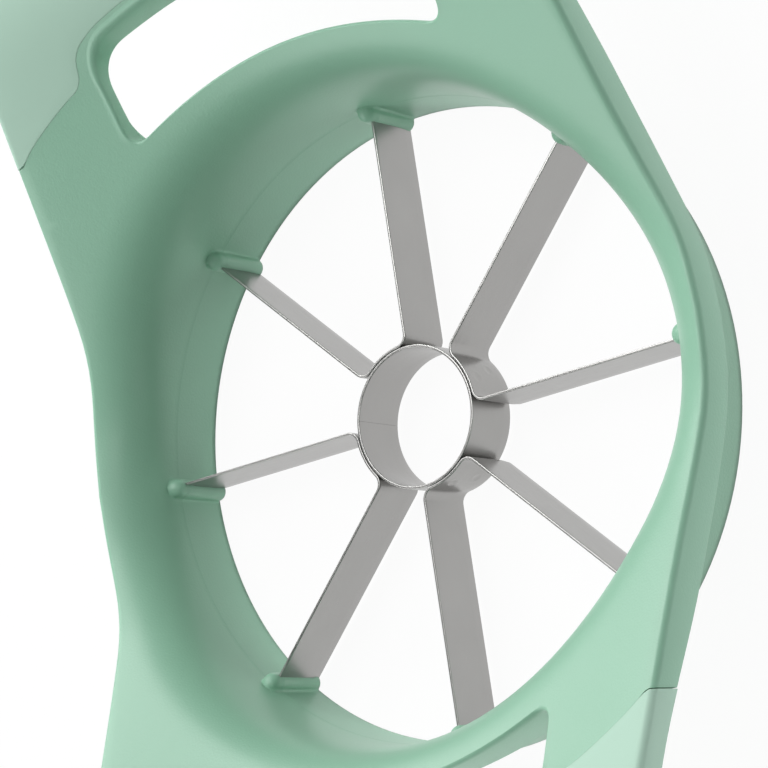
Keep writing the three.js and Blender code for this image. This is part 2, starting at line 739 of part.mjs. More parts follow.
function coreRing() {
  const radius = CORE_DIAMETER / 2 - CORE_WALL / 2;
  const half = SEAM_GAP / 2 / radius;
  const seam = SEAM_ANGLE_DEG * DEG;
  const path = [];
  for (let i = 0; i <= CORE_STEPS; i += 1) {
    const angle = mix(seam + half, seam + 2 * Math.PI - half, i / CORE_STEPS);
    path.push(onCircle(new THREE.Vector2(0, 0), radius, angle, 1));
  }
  return stripGeometry(path, CORE_WALL);
}

// The frame with its bosses and pockets, recessed under the grips, and the two grips.
function frameAndGrips() {
  let frame = solid(frameBody(0));
  const proud = solid(frameBody(-GRIP_PROUD));
  const under = solid(frameBody(GRIP_THICKNESS));
  const grips = [1, -1].map((side) => {
    const recess = solid(gripRegion(side, GRIP_GAP)).subtract(under);
    frame = frame.subtract(recess);
    const seat = solid(frameBody(GRIP_THICKNESS - GRIP_GAP));
    return proud.intersect(solid(gripRegion(side, 0))).subtract(seat);
  });
  for (let i = 0; i < 2 * PAIRS; i += 1) {
    frame = frame.add(solid(bossBody(i * ARM_PITCH)));
  }
  for (let i = 0; i < 2 * PAIRS; i += 1) {
    const lateral = i % 2 === 0 ? -STRIP_ARM_OFFSET : STRIP_ARM_OFFSET;
    frame = frame.subtract(solid(pocketBody(i * ARM_PITCH, lateral)));
  }
  return { frame, grips };
}

const frameMaterial = new THREE.MeshStandardMaterial({ color: 0x8cc4a9, roughness: 0.45, metalness: 0 });
const gripMaterial = new THREE.MeshStandardMaterial({ color: 0xa3c8b2, roughness: 0.7, metalness: 0 });
const steelMaterial = new THREE.MeshStandardMaterial({ color: 0xa9a8a6, roughness: 0.35, metalness: 1 });

function addMesh(group, name, geometry, material) {
  const mesh = new THREE.Mesh(geometry, material);
  mesh.name = name;
  group.add(mesh);
}

const group = new THREE.Group();
const { frame, grips } = frameAndGrips();
addMesh(group, "frame", toGeometry(frame), frameMaterial);
addMesh(group, "grip_right", toGeometry(grips[0]), gripMaterial);
addMesh(group, "grip_left", toGeometry(grips[1]), gripMaterial);
addMesh(group, "core_ring", coreRing(), steelMaterial);
for (let i = 0; i < PAIRS; i += 1) {
  addMesh(group, `blade_strip_${i + 1}`, bladeStrip((2 * i + 1 / 2) * ARM_PITCH), steelMaterial);
}

export default group;
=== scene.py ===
"""Push-down apple slicer: a moulded frame, two soft grips, a rolled core and four bent blade strips.

Lengths are in metres in the packed model's frame. The round foot stands on Z = 0, the core's axis is
Z, the handles lie along X and the narrow waist of the frame along Y.
"""

import math

import bpy
import numpy as np
from bpy.props import FloatProperty, FloatVectorProperty, PointerProperty
from mathutils import Matrix, Vector


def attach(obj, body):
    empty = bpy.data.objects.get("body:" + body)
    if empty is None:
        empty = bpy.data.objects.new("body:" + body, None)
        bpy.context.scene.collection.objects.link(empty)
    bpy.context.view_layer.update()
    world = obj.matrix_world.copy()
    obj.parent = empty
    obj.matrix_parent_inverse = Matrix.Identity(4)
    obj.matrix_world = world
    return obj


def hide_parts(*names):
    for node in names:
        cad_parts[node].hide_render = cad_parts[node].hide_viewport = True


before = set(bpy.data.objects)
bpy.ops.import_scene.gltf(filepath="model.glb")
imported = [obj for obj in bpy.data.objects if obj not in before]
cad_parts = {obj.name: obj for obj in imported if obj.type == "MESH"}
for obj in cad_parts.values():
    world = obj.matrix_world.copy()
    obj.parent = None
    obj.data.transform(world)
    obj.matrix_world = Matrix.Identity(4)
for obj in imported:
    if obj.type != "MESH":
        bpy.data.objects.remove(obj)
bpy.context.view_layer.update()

bl_info = {
    "name": "Apple slicer",
    "version": (1, 0, 0),
    "blender": (4, 5, 0),
    "location": "View3D > Sidebar > Slicer",
    "description": "Builds a push-down apple slicer with soft grips and steel blade strips",
    "category": "Add Mesh",
}

MM = 0.001
QUARTER = math.pi / 2
ARMS = 8
ARM_PITCH = 2 * math.pi / ARMS

# How finely the surfaces are meshed.
MERGE_STEP = MM / 10000
SAME_COLUMN = 1e-9
SHARP_ANGLE = math.radians(35)
OUTLINE_STEPS = 400
SLOT_SIDE_STEPS = 200
SLOT_CORNER_STEPS = 60
SLOT_MARKS = 600
BOSS_FLATS = 3
EDGE_ROWS = 4
RIM_ROWS = 7
PATCH_ROWS = 7
WALL_COLUMNS = 18
ARM_COLUMNS = 16
HANDLE_COLUMNS = 61
CORE_COLUMNS = 220
SIDE_ROWS = 26
GRIP_GATHER_POWER = 0.92

# Rows up a boss's foot and up its side, as shares of each.
BOSS_FOOT_SHARES = (0.45, 0.7, 1)
BOSS_SIDE_SHARES = (0.35, 0.8)

# How closely the slot's columns keep to their nearest points, and how much of a wall's height one
# rounded edge may take.
NEAREST_SHARE = 0.85
HALF_RIM_SHARE = 0.45

# Depth of the grain on all finishes.
GRAIN_DEPTH = MM / 10

# A weld's mark: where its collar lies in radii of the weld, and how narrow collar and hollow are.
COLLAR_PLACE = 1.3
COLLAR_NARROWNESS = 3
HOLLOW_NARROWNESS = 1.6

# The floor and the lamps: name, place and size in metres, and power in watts.
FLOOR_HALF = 4.0
LIGHT_TABLE = "light_table"
LAMPS = (
    ("key_softbox", (0.342, 0.197, 0.809), 0.45, 3.7),
    ("side_softbox", (0.547, 0.610, 0.380), 0.5, 3.6),
    ("low_softbox", (0.690, 0.307, 0.490), 0.2, 1.4),
    ("front_softbox", (-0.50, -0.74, 0.16), 0.4, 0.8),
    ("top_softbox", (0.018, -0.337, 0.834), 0.25, 0.9),
    ("rear_softbox", (-0.370, 0.620, 0.540), 0.5, 2.9),
    (LIGHT_TABLE, (0, 0, 0.0004), 0.6, 0.65),
)

# The camera, from the fit to the photograph: lengths in millimetres and angles in degrees.
CAMERA_AIM = (6.860, 5.108, 11.2)
CAMERA_DISTANCE = 450.503
CAMERA_ANGLES = (-110.672, 51.486, -81.922)
CAMERA_LENS = 126.96
CAMERA_SENSOR = 36


def length(name, description, millimetres):
    """A length property with its default given in millimetres."""
    return FloatProperty(name=name, description=description, default=millimetres * MM,
                         unit="LENGTH", precision=5)


def degrees(name, description, default):
    """An angle property with its default given in degrees."""
    return FloatProperty(name=name, description=description, default=math.radians(default),
                         unit="ROTATION")


def fullness(name, description, default):
    """The power of a profile: one or more, and rounder or fuller the larger it is."""
    return FloatProperty(name=name, description=description, default=default, min=1)


def share(name, description, default):
    """A plain number between zero and one."""
    return FloatProperty(name=name, description=description, default=default, min=0, max=1)


def colour(name, description, default):
    """A linear colour."""
    return FloatVectorProperty(name=name, description=description, default=default,
                               subtype="COLOR", size=3, min=0, max=1)


class SlicerSteel(bpy.types.PropertyGroup):
    """Sizes of the core and of the blade strips."""

    core_diameter: length("Core diameter", "Outside width of the hollow core", 24)
    core_wall: length("Core wall", "Thickness of the core's strip", 0.5)
    seam_gap: length("Seam gap", "Opening between the ends of the core's strip", 0.03)
    seam_angle: degrees("Seam angle", "Where the core's seam lies", 80)
    strip_thickness: length("Strip thickness", "Thickness of a blade strip", 0.45)
    strip_width: length("Strip width", "Height of a blade strip", 10.7)
    strip_lift: length("Strip lift", "Height of the sharp edges over the foot", 0.5)
    bend_radius: length("Bend radius", "Radius of a strip's bend, to its middle", 2)
    arm_offset: length("Arm offset", "Distance of an arm from the line through the axis", 0.44)
    weld_gap: length("Weld gap", "Distance between the core and a strip's hold", 0.1)
    grind_height: length("Grind height", "Height of the ground part above a sharp edge", 1.8)
    edge_land: length("Edge land", "Thickness left at a sharp edge", 0.12)
    arm_end_inset: length("Arm end inset", "How far an arm ends inside the bore's radius", 1.2)
    top_round_share: share("Top rounding", "Part of half the thickness that a top edge is rounded", 0.45)
    weld_radius: length("Weld radius", "Radius of a spot weld's mark", 0.8)
    weld_depth: length("Weld depth", "Depth of a spot weld's mark", 0.09)
    collar_share: share("Weld collar", "Height of the collar round a weld, as a part of its depth", 0.5)
    weld_side: length("Weld side", "Distance of a weld from the middle of its hold", 0.9)
    upper_weld: length("Upper weld", "Depth of the upper weld below the strip's top", 2.6)
    lower_weld: length("Lower weld", "Depth of the lower weld below the strip's top", 7)


class SlicerMoulding(bpy.types.PropertyGroup):
    """Sizes of the moulded frame."""

    bore_radius: length("Bore radius", "Radius of the bore at the foot", 53.4)
    bore_draft: length("Bore draft", "How much the bore widens up to the parting line", 0.15)
    parting_drop: length("Parting drop", "Depth of the parting line below the blade tops", 1)
    parting_ledge: length("Parting ledge", "Width of the step at the parting line", 0.07)
    skirt_wall: length("Skirt wall", "Thickness of the skirt round the blades", 2.4)
    flare_waist: length("Flare at the waist", "Width of the flare out of the bore at the waist", 11)
    flare_handle: length("Flare at the handles", "Width of the flare out of the bore at the handles", 10)
    fullness_waist: fullness("Fullness at the waist", "Power of the flare's profile at the waist", 2.2)
    fullness_handle: fullness("Fullness at the handles", "Power of the profile at the handles", 4.4)
    fullness_focus: fullness("Fullness focus", "How closely the round profile keeps to the waist", 5.8)
    ring_width: length("Ring width", "Distance from the bore to the outer edge at the waist", 9.2)
    arm_spread: length("Arm spread", "Distance from the bore to the line of the arms' outer edges", 5.6)
    bulge_length: length("Bulge length", "Half length of the bulge at the waist", 20)
    arm_taper: share("Arm taper", "How much the arms draw in for each length towards the handle", 0.045)
    arm_curve: length("Arm curve", "Radius of the arms' outer line", 1250)
    slot_ring: length("Ring beside slot", "Width of the ring between bore and slot", 7.7)
    slot_ring_curve: length("Slot ring curve", "Radius of the slot's side at the ring", 72)
    slot_length: length("Slot length", "Size of the slot along the handle axis", 12.9)
    slot_far_curve: length("Slot far curve", "Radius of the slot's side at the bar", 111)
    arm_width: length("Arm width", "Distance from the slot's end to the arm's outer line", 25.4)
    slot_ring_corner: length("Slot ring corner", "Size of the slot's corners at the ring", 3.6)
    slot_far_corner: length("Slot far corner", "Size of the slot's corners at the bar", 5.5)
    ring_fillet: share("Ring fillet", "Part of the slot's edge rounding that its ring side has", 0.5)
    slot_draft: length("Slot draft", "How much the slot's wall leans in towards its foot", 0.3)
    bar_width: length("Bar width", "Width of the handle bar", 34)
    handle_corner: length("Handle corner", "Length of the handle's rounded corner", 28)
    corner_power: fullness("Corner power", "Fullness of the handle's corner", 2.5)
    waist_rise: length("Waist rise", "Height of the outer edge over the blade tops at the waist", 11.3)
    flat_half: length("Flat half length", "Half length of the level part at the waist", 8)
    arm_slope: degrees("Arm slope", "Slope of the arms", 25.9)
    slope_stop: length("Slope stop", "How far before the slot's bar side the straight slope ends", 2)
    lower_sweep: length("Lower sweep", "Radius of the sweep up from the waist", 48)
    upper_sweep: length("Upper sweep", "Radius of the sweep out to the handles", 60)
    dish_depth: length("Dish depth", "Depth of the hollow in the top face", 8.8)
    dish_power: fullness("Dish power", "Fullness of the hollow across the frame", 1.25)
    dish_run: length("Dish run", "How far beyond the slot the hollow stops fading", 10)
    dish_left: share("Dish left", "Part of the dish that is left at the handle bar", 0.2)
    plate: length("Plate", "Thickness of the frame's plate at the waist", 6.6)
    arm_swell: length("Arm swell", "How much the plate thickens along the arms", 1.3)
    arm_swell_start: length("Arm swell start", "Where the arms start to thicken", 10)
    arm_swell_run: length("Arm swell run", "Length over which the arms thicken", 25)
    arm_thinning: length("Arm thinning", "How much the plate thins before the handles", 2.2)
    thinning_before: length("Thinning before", "Where the arms start to thin, before the slot", 23)
    thinning_after: length("Thinning after", "Where the arms are thin, beyond the slot's ring side", 3)
    hollow_hold: length("Hollow hold", "Where the thinning under the hollow starts to fade", 3)
    hollow_run: length("Hollow run", "Where the thinning under the hollow ends, beyond the slot", 4)
    thinning: share("Thinning", "Part of the dish that is taken from the plate", 0.58)
    bar_swell: length("Bar swell", "Extra thickness under the handle bar", 4)
    swell_shift: share("Swell shift", "How far along its swelling the handle bar starts", 0.07)
    ring_web: length("Ring web", "Extra depth of the ring beside a slot", 6.5)
    web_run: length("Web run", "Length over which the extra depth fades, beyond the ring", 7)
    web_angle: degrees("Web angle", "Angle off the handle axis where the extra depth starts to fade", 36)
    web_fade: degrees("Web fade", "Angle over which the extra depth fades", 16)
    edge_fillet: length("Edge fillet", "Rounding of the outer edge", 1)
    under_fillet: length("Under fillet", "Rounding of the outer edge at the underside", 0.5)
    slot_fillet: length("Slot fillet", "Rounding of the slot's edges", 1.3)
    skirt_fillet: length("Skirt fillet", "Rounding where the skirt meets the plate", 4.5)
    skirt_fillet_share: share("Skirt fillet left", "Part of the skirt's fillet left at the handles", 0.5)
    foot_fillet: length("Foot fillet", "Rounding of the foot's edges", 0.3)
    crest_margin: length("Crest margin", "Distance of the flare's last row from slot and edge", 0.8)


class SlicerBosses(bpy.types.PropertyGroup):
    """Sizes of the bosses on the bore's wall that hold the blade ends."""

    width: length("Boss width", "Width of a boss", 3.4)
    reach: length("Boss reach", "How far a boss stands off the wall", 2.2)
    top: length("Boss top", "Height of the straight part over the blade tops", 0.3)
    dome: length("Boss dome", "Height of a boss's rounded top", 1.7)
    foot_round: length("Boss foot", "Height of a boss's rounded foot", 1.1)
    foot_share: share("Foot share", "Part of a quarter turn that the foot's rounding takes", 0.65)
    fillet: length("Boss fillet", "Rounding where a boss meets the wall", 0.45)
    zone: length("Boss zone", "Half width of the wall that is meshed finely at a boss", 3.1)


class SlicerGrips(bpy.types.PropertyGroup):
    """Sizes of the soft grips."""

    thickness: length("Grip thickness", "Depth of the recess under a grip", 1.8)
    gap: length("Grip gap", "Gap between a grip's edge and the frame", 0.01)
    proud: length("Grip proud", "How far a grip stands over the frame's face", 0.1)
    edge_round: length("Grip edge", "Rounding of a grip's edge", 0.16)
    rim: length("Grip rim", "Width of frame that shows between slot and grip", 1.8)
    arm_back: length("Grip arm end", "How far a grip reaches along an arm, before the slot", 6)
    start_shift: length("Start shift", "How far beyond a grip's end its recess reaches full depth", 0.35)
    seat_gap: length("Seat gap", "Gap between a grip and the floor of its recess", 0.03)
    end_gap_share: share("End gap", "Part of the handle's edge left free at a grip's end", 0.002)
    follow_from: length("Follow from", "Where the edge starts to follow the bar, from the slot's end", 3)
    knots: FloatVectorProperty(
        name="Edge knots", size=8, unit="LENGTH",
        description="Knots of a grip's edge as steps from the slot: out along the handle, and across",
        default=[v * MM for v in (-3.2, 16.8, 1.7, 8, 3.4, 3.4, 8, 2.1)])


class SlicerLook(bpy.types.PropertyGroup):
    """Colours and finish."""

    plastic: colour("Plastic", "Colour of the moulded frame", (0.266, 0.490, 0.358))
    grip: colour("Grip", "Colour of the soft grips", (0.415, 0.610, 0.500))
    steel: colour("Steel", "Colour of the blade steel", (0.37, 0.365, 0.357))
    floor: colour("Floor", "Colour of the floor", (0.92, 0.92, 0.92))
    plastic_roughness: share("Plastic roughness", "Roughness of the frame's satin face", 0.37)
    grip_roughness: share("Grip roughness", "Roughness of the soft grips", 0.6)
    steel_roughness: share("Steel roughness", "Roughness of the blade steel", 0.3)
    plastic_shine: share("Plastic shine", "Specular level of the frame's plastic", 0.42)
    grip_shine: share("Grip shine", "Specular level of the soft grips", 0.35)
    floor_glow: share("Floor glow", "How much of the floor's white the camera and reflections see", 0.95)
    world_light: share("World light", "Strength of the even light from all around", 0.1)


def clamp01(values):
    """Values held between zero and one."""
    return np.clip(values, 0, 1)


def ease(values):
    """Zero to one with level ends: three squares less two cubes."""
    t = clamp01(values)
    return t * t * (3 - 2 * t)


def mix(a, b, t):
    """From a to b as t runs from zero to one."""
    return a + (b - a) * t


def span(values, start, end):
    """Eased zero to one between a start and an end."""
    return ease((values - start) / (end - start))


def running_length(points):
    """Length of a line up to each of its points: the running sum of its steps."""
    steps = np.linalg.norm(np.diff(points, axis=0), axis=1)
    return np.concatenate(([0], np.cumsum(steps)))


def picked(points, marks, shares):
    """Points of a plan line at shares, where each of its points has a mark."""
    return np.stack([np.interp(shares, marks, points[:, axis]) for axis in (0, 1)], axis=-1)


def along(points, shares):
    """Points of a plan line at shares of its length."""
    run = running_length(points)
    return picked(points, run / run[-1], shares)


def moved_in(points, inset):
    """A quarter line moved to its right by inset; ends on an axis stay on that axis."""
    before = np.vstack((points[:1], points[:-1]))
    after = np.vstack((points[1:], points[-1:]))
    run = after - before
    run /= np.linalg.norm(run, axis=1)[:, None]
    moved = points + np.stack((run[:, 1], -run[:, 0]), axis=1) * inset
    moved[0] = np.where(points[0] == 0, 0, moved[0])
    moved[-1, 1] = 0
    return moved


class FrameForm:
    """The moulded frame as formulas in plan coordinates: heights, thickness and outlines."""

    def __init__(self, scene):
        self.m = scene.slicer_moulding
        self.g = scene.slicer_grips
        steel = scene.slicer_steel
        m = self.m
        self.blade_top = steel.strip_lift + steel.strip_width
        self.parting = self.blade_top - m.parting_drop
        self.bore = m.bore_radius + m.bore_draft
        self.skirt = m.bore_radius + m.skirt_wall
        self.slot_ring_x = m.bore_radius + m.slot_ring
        self.slot_far_x = self.slot_ring_x + m.slot_length
        self.half_length = self.slot_far_x + m.bar_width
        self.corner_start = self.half_length - m.handle_corner
        self.arm_half = m.bore_radius + m.arm_spread
        self.slot_half = self.arm_half - m.arm_width
        self.slope_end = self.slot_far_x - m.slope_stop

    def half_width(self, p):
        """Half the plan's width: a taper on a flat arc, plus a bulge that dies with the fourth power."""
        m = self.m
        bulge = (m.ring_width - m.arm_spread) / (1 + (p / m.bulge_length) ** 4)
        return self.arm_half - m.arm_taper * p - p * p / (2 * m.arm_curve) + bulge

    def edge_rise(self, p):
        """Height of the outer edge over the blade tops: level, arc, straight slope, arc."""
        m = self.m
        sine = math.sin(m.arm_slope)
        sweep_end = m.flat_half + m.lower_sweep * sine
        a = clamp01((p - m.flat_half) / (sweep_end - m.flat_half)) * sine
        lower = m.lower_sweep * (1 - np.sqrt(1 - a * a))
        straight = math.tan(m.arm_slope) * np.maximum(0, np.minimum(p, self.slope_end) - sweep_end)
        run = np.minimum(np.maximum(0, p - self.slope_end), m.upper_sweep * sine)
        b = sine - run / m.upper_sweep
        upper = m.upper_sweep * (np.sqrt(1 - b * b) - math.cos(m.arm_slope))
        return m.waist_rise + lower + straight + upper

    def dish(self, x, y):
        """How far the face dips below its edge: a rounded hollow across, fading at the bar."""
        m = self.m
        across = np.maximum(0, 1 - (y / self.half_width(np.abs(x))) ** 2) ** m.dish_power
        fade = span(np.abs(x), self.slot_ring_x, self.slot_far_x + m.dish_run)
        return m.dish_depth * across * mix(1, m.dish_left, fade)

    def top(self, x, y):
        """Height of the top: a quarter superellipse out of the bore, times the face it runs into."""
        r = np.hypot(x, y)
        width, power = self.flare(np.abs(y) / r)
        out = clamp01((r - self.bore) / width)
        return self.parting + (self.face(x, y) - self.parting) * (1 - (1 - out) ** power) ** (1 / power)

    def flare(self, across):
        """Width and fullness of the flare: round at the waist and fuller towards the handles."""
        m = self.m
        return (mix(m.flare_handle, m.flare_waist, across ** 2),
                mix(m.fullness_handle, m.fullness_waist, across ** m.fullness_focus))

    def face(self, x, y):
        """Height of the top face as it would be without the flare."""
        return self.blade_top + self.edge_rise(np.abs(x)) - self.dish(x, y)

    def under(self, x, y):
        """Height of the underside: the top less the plate with its swellings, hollows and web."""
        m = self.m
        p, r = np.abs(x), np.hypot(x, y)
        off = np.arctan2(np.abs(y), p)
        near = 1 - span(r, self.slot_ring_x, self.slot_ring_x + m.web_run)
        facing = 1 - span(off, m.web_angle, m.web_angle + m.web_fade)
        shift = mix(m.swell_shift, 1, clamp01((p - self.slot_far_x) / m.bar_width))
        on_bar = span(p, self.slot_ring_x, self.slot_far_x)
        middle = 1 - clamp01(np.abs(y) / self.half_width(p)) ** 2
        swell = m.bar_swell * np.sin(math.pi * shift) * on_bar * middle
        arm = m.arm_swell * span(p, m.arm_swell_start, m.arm_swell_start + m.arm_swell_run)
        thin_start, thin_end = self.slot_ring_x - m.thinning_before, self.slot_ring_x + m.thinning_after
        arm -= m.arm_thinning * span(p, thin_start, thin_end)
        before_bar = 1 - span(p, self.slot_ring_x + m.hollow_hold, self.slot_far_x + m.hollow_run)
        plate = m.plate + arm - m.thinning * self.dish(x, y) * before_bar
        return self.top(x, y) - plate - m.ring_web * near * facing - swell

    def outline(self, inset):
        """Outer outline from the waist to the handle's end, with a superellipse corner."""
        p = np.linspace(0, self.corner_start, OUTLINE_STEPS)
        side = np.stack((p, self.half_width(p)), axis=1)
        t = np.linspace(0, QUARTER, OUTLINE_STEPS)[1:]
        power = 2 / self.m.corner_power
        reach = self.half_length - self.corner_start
        corner = np.stack((self.corner_start + reach * np.sin(t) ** power,
                           side[-1, 1] * np.maximum(0, np.cos(t)) ** power), axis=1)
        corner[-1, 1] = 0
        return moved_in(np.vstack((side, corner)), inset)

    def slot(self, grow):
        """Half of a finger slot: the ring side, two rounded corners and the bar side."""
        m = self.m
        ring_side = self.ring_side(np.linspace(0, self.slot_half - m.slot_ring_corner, SLOT_SIDE_STEPS))
        bar_side = self.bar_side(np.linspace(self.slot_half - m.slot_far_corner, 0, SLOT_SIDE_STEPS))
        ring_corner, bar_corner = self.ring_side(self.slot_half), self.bar_side(self.slot_half)
        after, before = ring_corner + (m.slot_ring_corner, 0), bar_corner - (m.slot_far_corner, 0)
        line = np.vstack((
            ring_side[:-1],
            self.slot_corner(ring_side[-1], ring_corner, after),
            self.slot_corner(before, bar_corner, bar_side[0]),
            bar_side[1:],
        ))
        return moved_in(line, -grow)

    def ring_side(self, y):
        """The slot's side at the ring: a flat arc, as a parabola of its radius."""
        return np.stack((self.slot_ring_x - y * y / (2 * self.m.slot_ring_curve), y), axis=-1)

    def bar_side(self, y):
        """The slot's side at the bar: a flat arc, as a parabola of its radius."""
        return np.stack((self.slot_far_x - y * y / (2 * self.m.slot_far_curve), y), axis=-1)

    def slot_corner(self, start, tip, end):
        """A rounded corner: the quadratic curve that its two tangents and its tip give."""
        t = np.linspace(0, 1, SLOT_CORNER_STEPS)[:, None]
        return start * (1 - t) ** 2 + tip * 2 * t * (1 - t) + end * t * t

    def grip_edge(self, start):
        """Edge of a grip in plan, from its start near the outline to the handle axis.

        It is a line through a few knots whose corners are cut again and again at a quarter and at
        three quarters of each piece, so it runs smooth.
        """
        g = self.g
        knots = np.array(g.knots).reshape(-1, 2) + (self.slot_ring_x, self.slot_half)
        beside_bar = self.bar_side(np.linspace(self.slot_half - g.follow_from, 0, 8)) + (g.rim, 0)
        line = np.vstack((start, knots, beside_bar))
        for _ in range(4):
            cuts = np.stack((mix(line[:-1], line[1:], 0.25), mix(line[:-1], line[1:], 0.75)), axis=1)
            line = np.vstack((line[:1], cuts.reshape(-1, 2), line[-1:]))
        return line


class Skin:
    """Grids of points that together close one surface; each grid's faces turn right-handed."""

    def __init__(self):
        self.points = []
        self.faces = []
        self.count = 0

    def add(self, grid, flip=False):
        """Adds a grid of points with its faces, and turns them round where flip says so."""
        if flip:
            grid = grid[:, ::-1]
        rows, columns = grid.shape[:2]
        index = np.arange(rows * columns).reshape(rows, columns) + self.count
        quads = np.stack((index[:-1, :-1], index[1:, :-1], index[1:, 1:], index[:-1, 1:]), axis=-1)
        self.points.append(grid.reshape(-1, 3))
        self.faces.append(quads.reshape(-1, 4))
        self.count += rows * columns

    def mirrored(self, signs=((1, 1), (-1, 1), (-1, -1), (1, -1))):
        """A skin of copies by signs of X and Y, with the faces of odd mirrors turned round."""
        points, faces = np.vstack(self.points), np.vstack(self.faces)
        whole = Skin()
        for sx, sy in signs:
            whole.points.append(points * (sx, sy, 1))
            whole.faces.append((faces if sx * sy > 0 else faces[:, ::-1]) + whole.count)
            whole.count += len(points)
        return whole

    def mesh(self, name):
        """Merges equal points, drops faces without area and makes a smooth-shaded mesh."""
        points, faces = np.vstack(self.points), np.vstack(self.faces)
        _, first, back = np.unique(np.round(points / MERGE_STEP).astype(np.int64), axis=0,
                                   return_index=True, return_inverse=True)
        faces = back.reshape(-1)[faces]
        same = faces == np.roll(faces, -1, axis=1)
        doubles = same.sum(axis=1)
        twisted = (faces[:, 0] == faces[:, 2]) | (faces[:, 1] == faces[:, 3])
        quads = faces[(doubles == 0) & ~twisted]
        pinched = faces[(doubles == 1) & ~twisted]
        triangles = pinched[~same[(doubles == 1) & ~twisted]].reshape(-1, 3)
        mesh = bpy.data.meshes.new(name)
        mesh.from_pydata(points[first].tolist(), [], quads.tolist() + triangles.tolist())
        mesh.shade_smooth()
        mesh.set_sharp_from_angle(angle=SHARP_ANGLE)
        mesh.validate()
        return mesh


def add_piece(mesh, material, slot_name, *nodes):
    """Links a piece, gives it its finish, and lets it stand for its CAD nodes."""
    piece = bpy.data.objects.new(mesh.name, mesh)
    bpy.context.scene.collection.objects.link(piece)
    mesh.materials.append(material)
    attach(piece, "root")
    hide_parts(*nodes)


def heights(points, height):
    """Plan points raised to a height formula."""
    return np.concatenate((points, height(points[..., 0], points[..., 1])[..., None]), axis=-1)


def boss_profile(bosses):
    """Half of a boss's section as (side, reach): round nose, straight side, fillet.

    The nose is a quarter circle of half the boss's width, and the fillet a quarter circle.
    """
    r, f = bosses.width / 2, bosses.fillet
    t = np.linspace(0, QUARTER, 9)
    nose = np.stack((r * np.sin(t), bosses.reach - r + r * np.cos(t)), axis=1)
    t = np.linspace(0, QUARTER, 6)
    foot = np.stack((r + f - f * np.cos(t), f - f * np.sin(t)), axis=1)
    return np.vstack((nose, foot))


def bore_columns(form, bosses):
    """Columns of a quarter of the bore: boss angle, side and reach on its section, and flat share.

    Each boss's zone repeats the boss's section, and the flat share runs from zero at its fillet to
    one at the zone's end. Between zones the columns are even, with a flat share of minus one.
    """
    profile = boss_profile(bosses)
    flats = np.arange(1, BOSS_FLATS + 1) / BOSS_FLATS
    section = np.vstack((
        np.column_stack((profile, np.zeros(len(profile)))),
        np.column_stack((np.full(BOSS_FLATS, profile[-1, 0]), np.zeros(BOSS_FLATS), flats)),
    ))
    zone = math.asin(bosses.zone / form.bore)

    def half(turn, sign):
        """Columns of one half of a boss, from its middle outwards."""
        return np.column_stack((np.full(len(section), turn), sign * section[:, 0], section[:, 1:]))

    parts = []
    for start in (0.0, ARM_PITCH):
        end = start + ARM_PITCH
        even = mix(start + zone, end - zone, np.arange(1, WALL_COLUMNS) / WALL_COLUMNS)
        wall = np.column_stack((even, np.zeros((len(even), 2)), np.full(len(even), -1.0)))
        parts += [half(start, 1), wall, half(end, -1)[::-1]]
    table = np.vstack(parts)
    keep = np.ones(len(table), bool)
    keep[1:] = np.abs(np.diff(table, axis=0)).max(axis=1) > SAME_COLUMN
    return table[keep]


def column_angles(form, bosses, table):
    """Angles of the columns on the bare wall, where a boss's section is drawn to a point."""
    turn = np.sign(table[:, 1]) / form.bore
    return table[:, 0] + turn * bosses.zone * np.maximum(table[:, 3], 0)


def wall_row(table, bosses, radius, scale, extra=0.0):
    """Plan points of one row on the wall itself, and of the same row with the bosses on it.

    A boss's section is scaled towards the wall and stands off it by extra more, so that its nose
    stays upright where the wall leans back.
    """
    angle, side, reach, flat = table.T
    lateral = np.sign(side) * mix(np.abs(side) * scale, bosses.zone, np.maximum(flat, 0))
    wall = np.sqrt(radius ** 2 - lateral ** 2)
    lift = (reach + extra * np.minimum(1, reach / bosses.fillet)) * scale
    rows = []
    for radial in (wall, wall - lift):
        x = radial * np.cos(angle) - lateral * np.sin(angle)
        y = radial * np.sin(angle) + lateral * np.cos(angle)
        x[-1] = 0.0
        y[0] = 0.0
        rows.append(np.stack((x, y), axis=-1))
    return rows


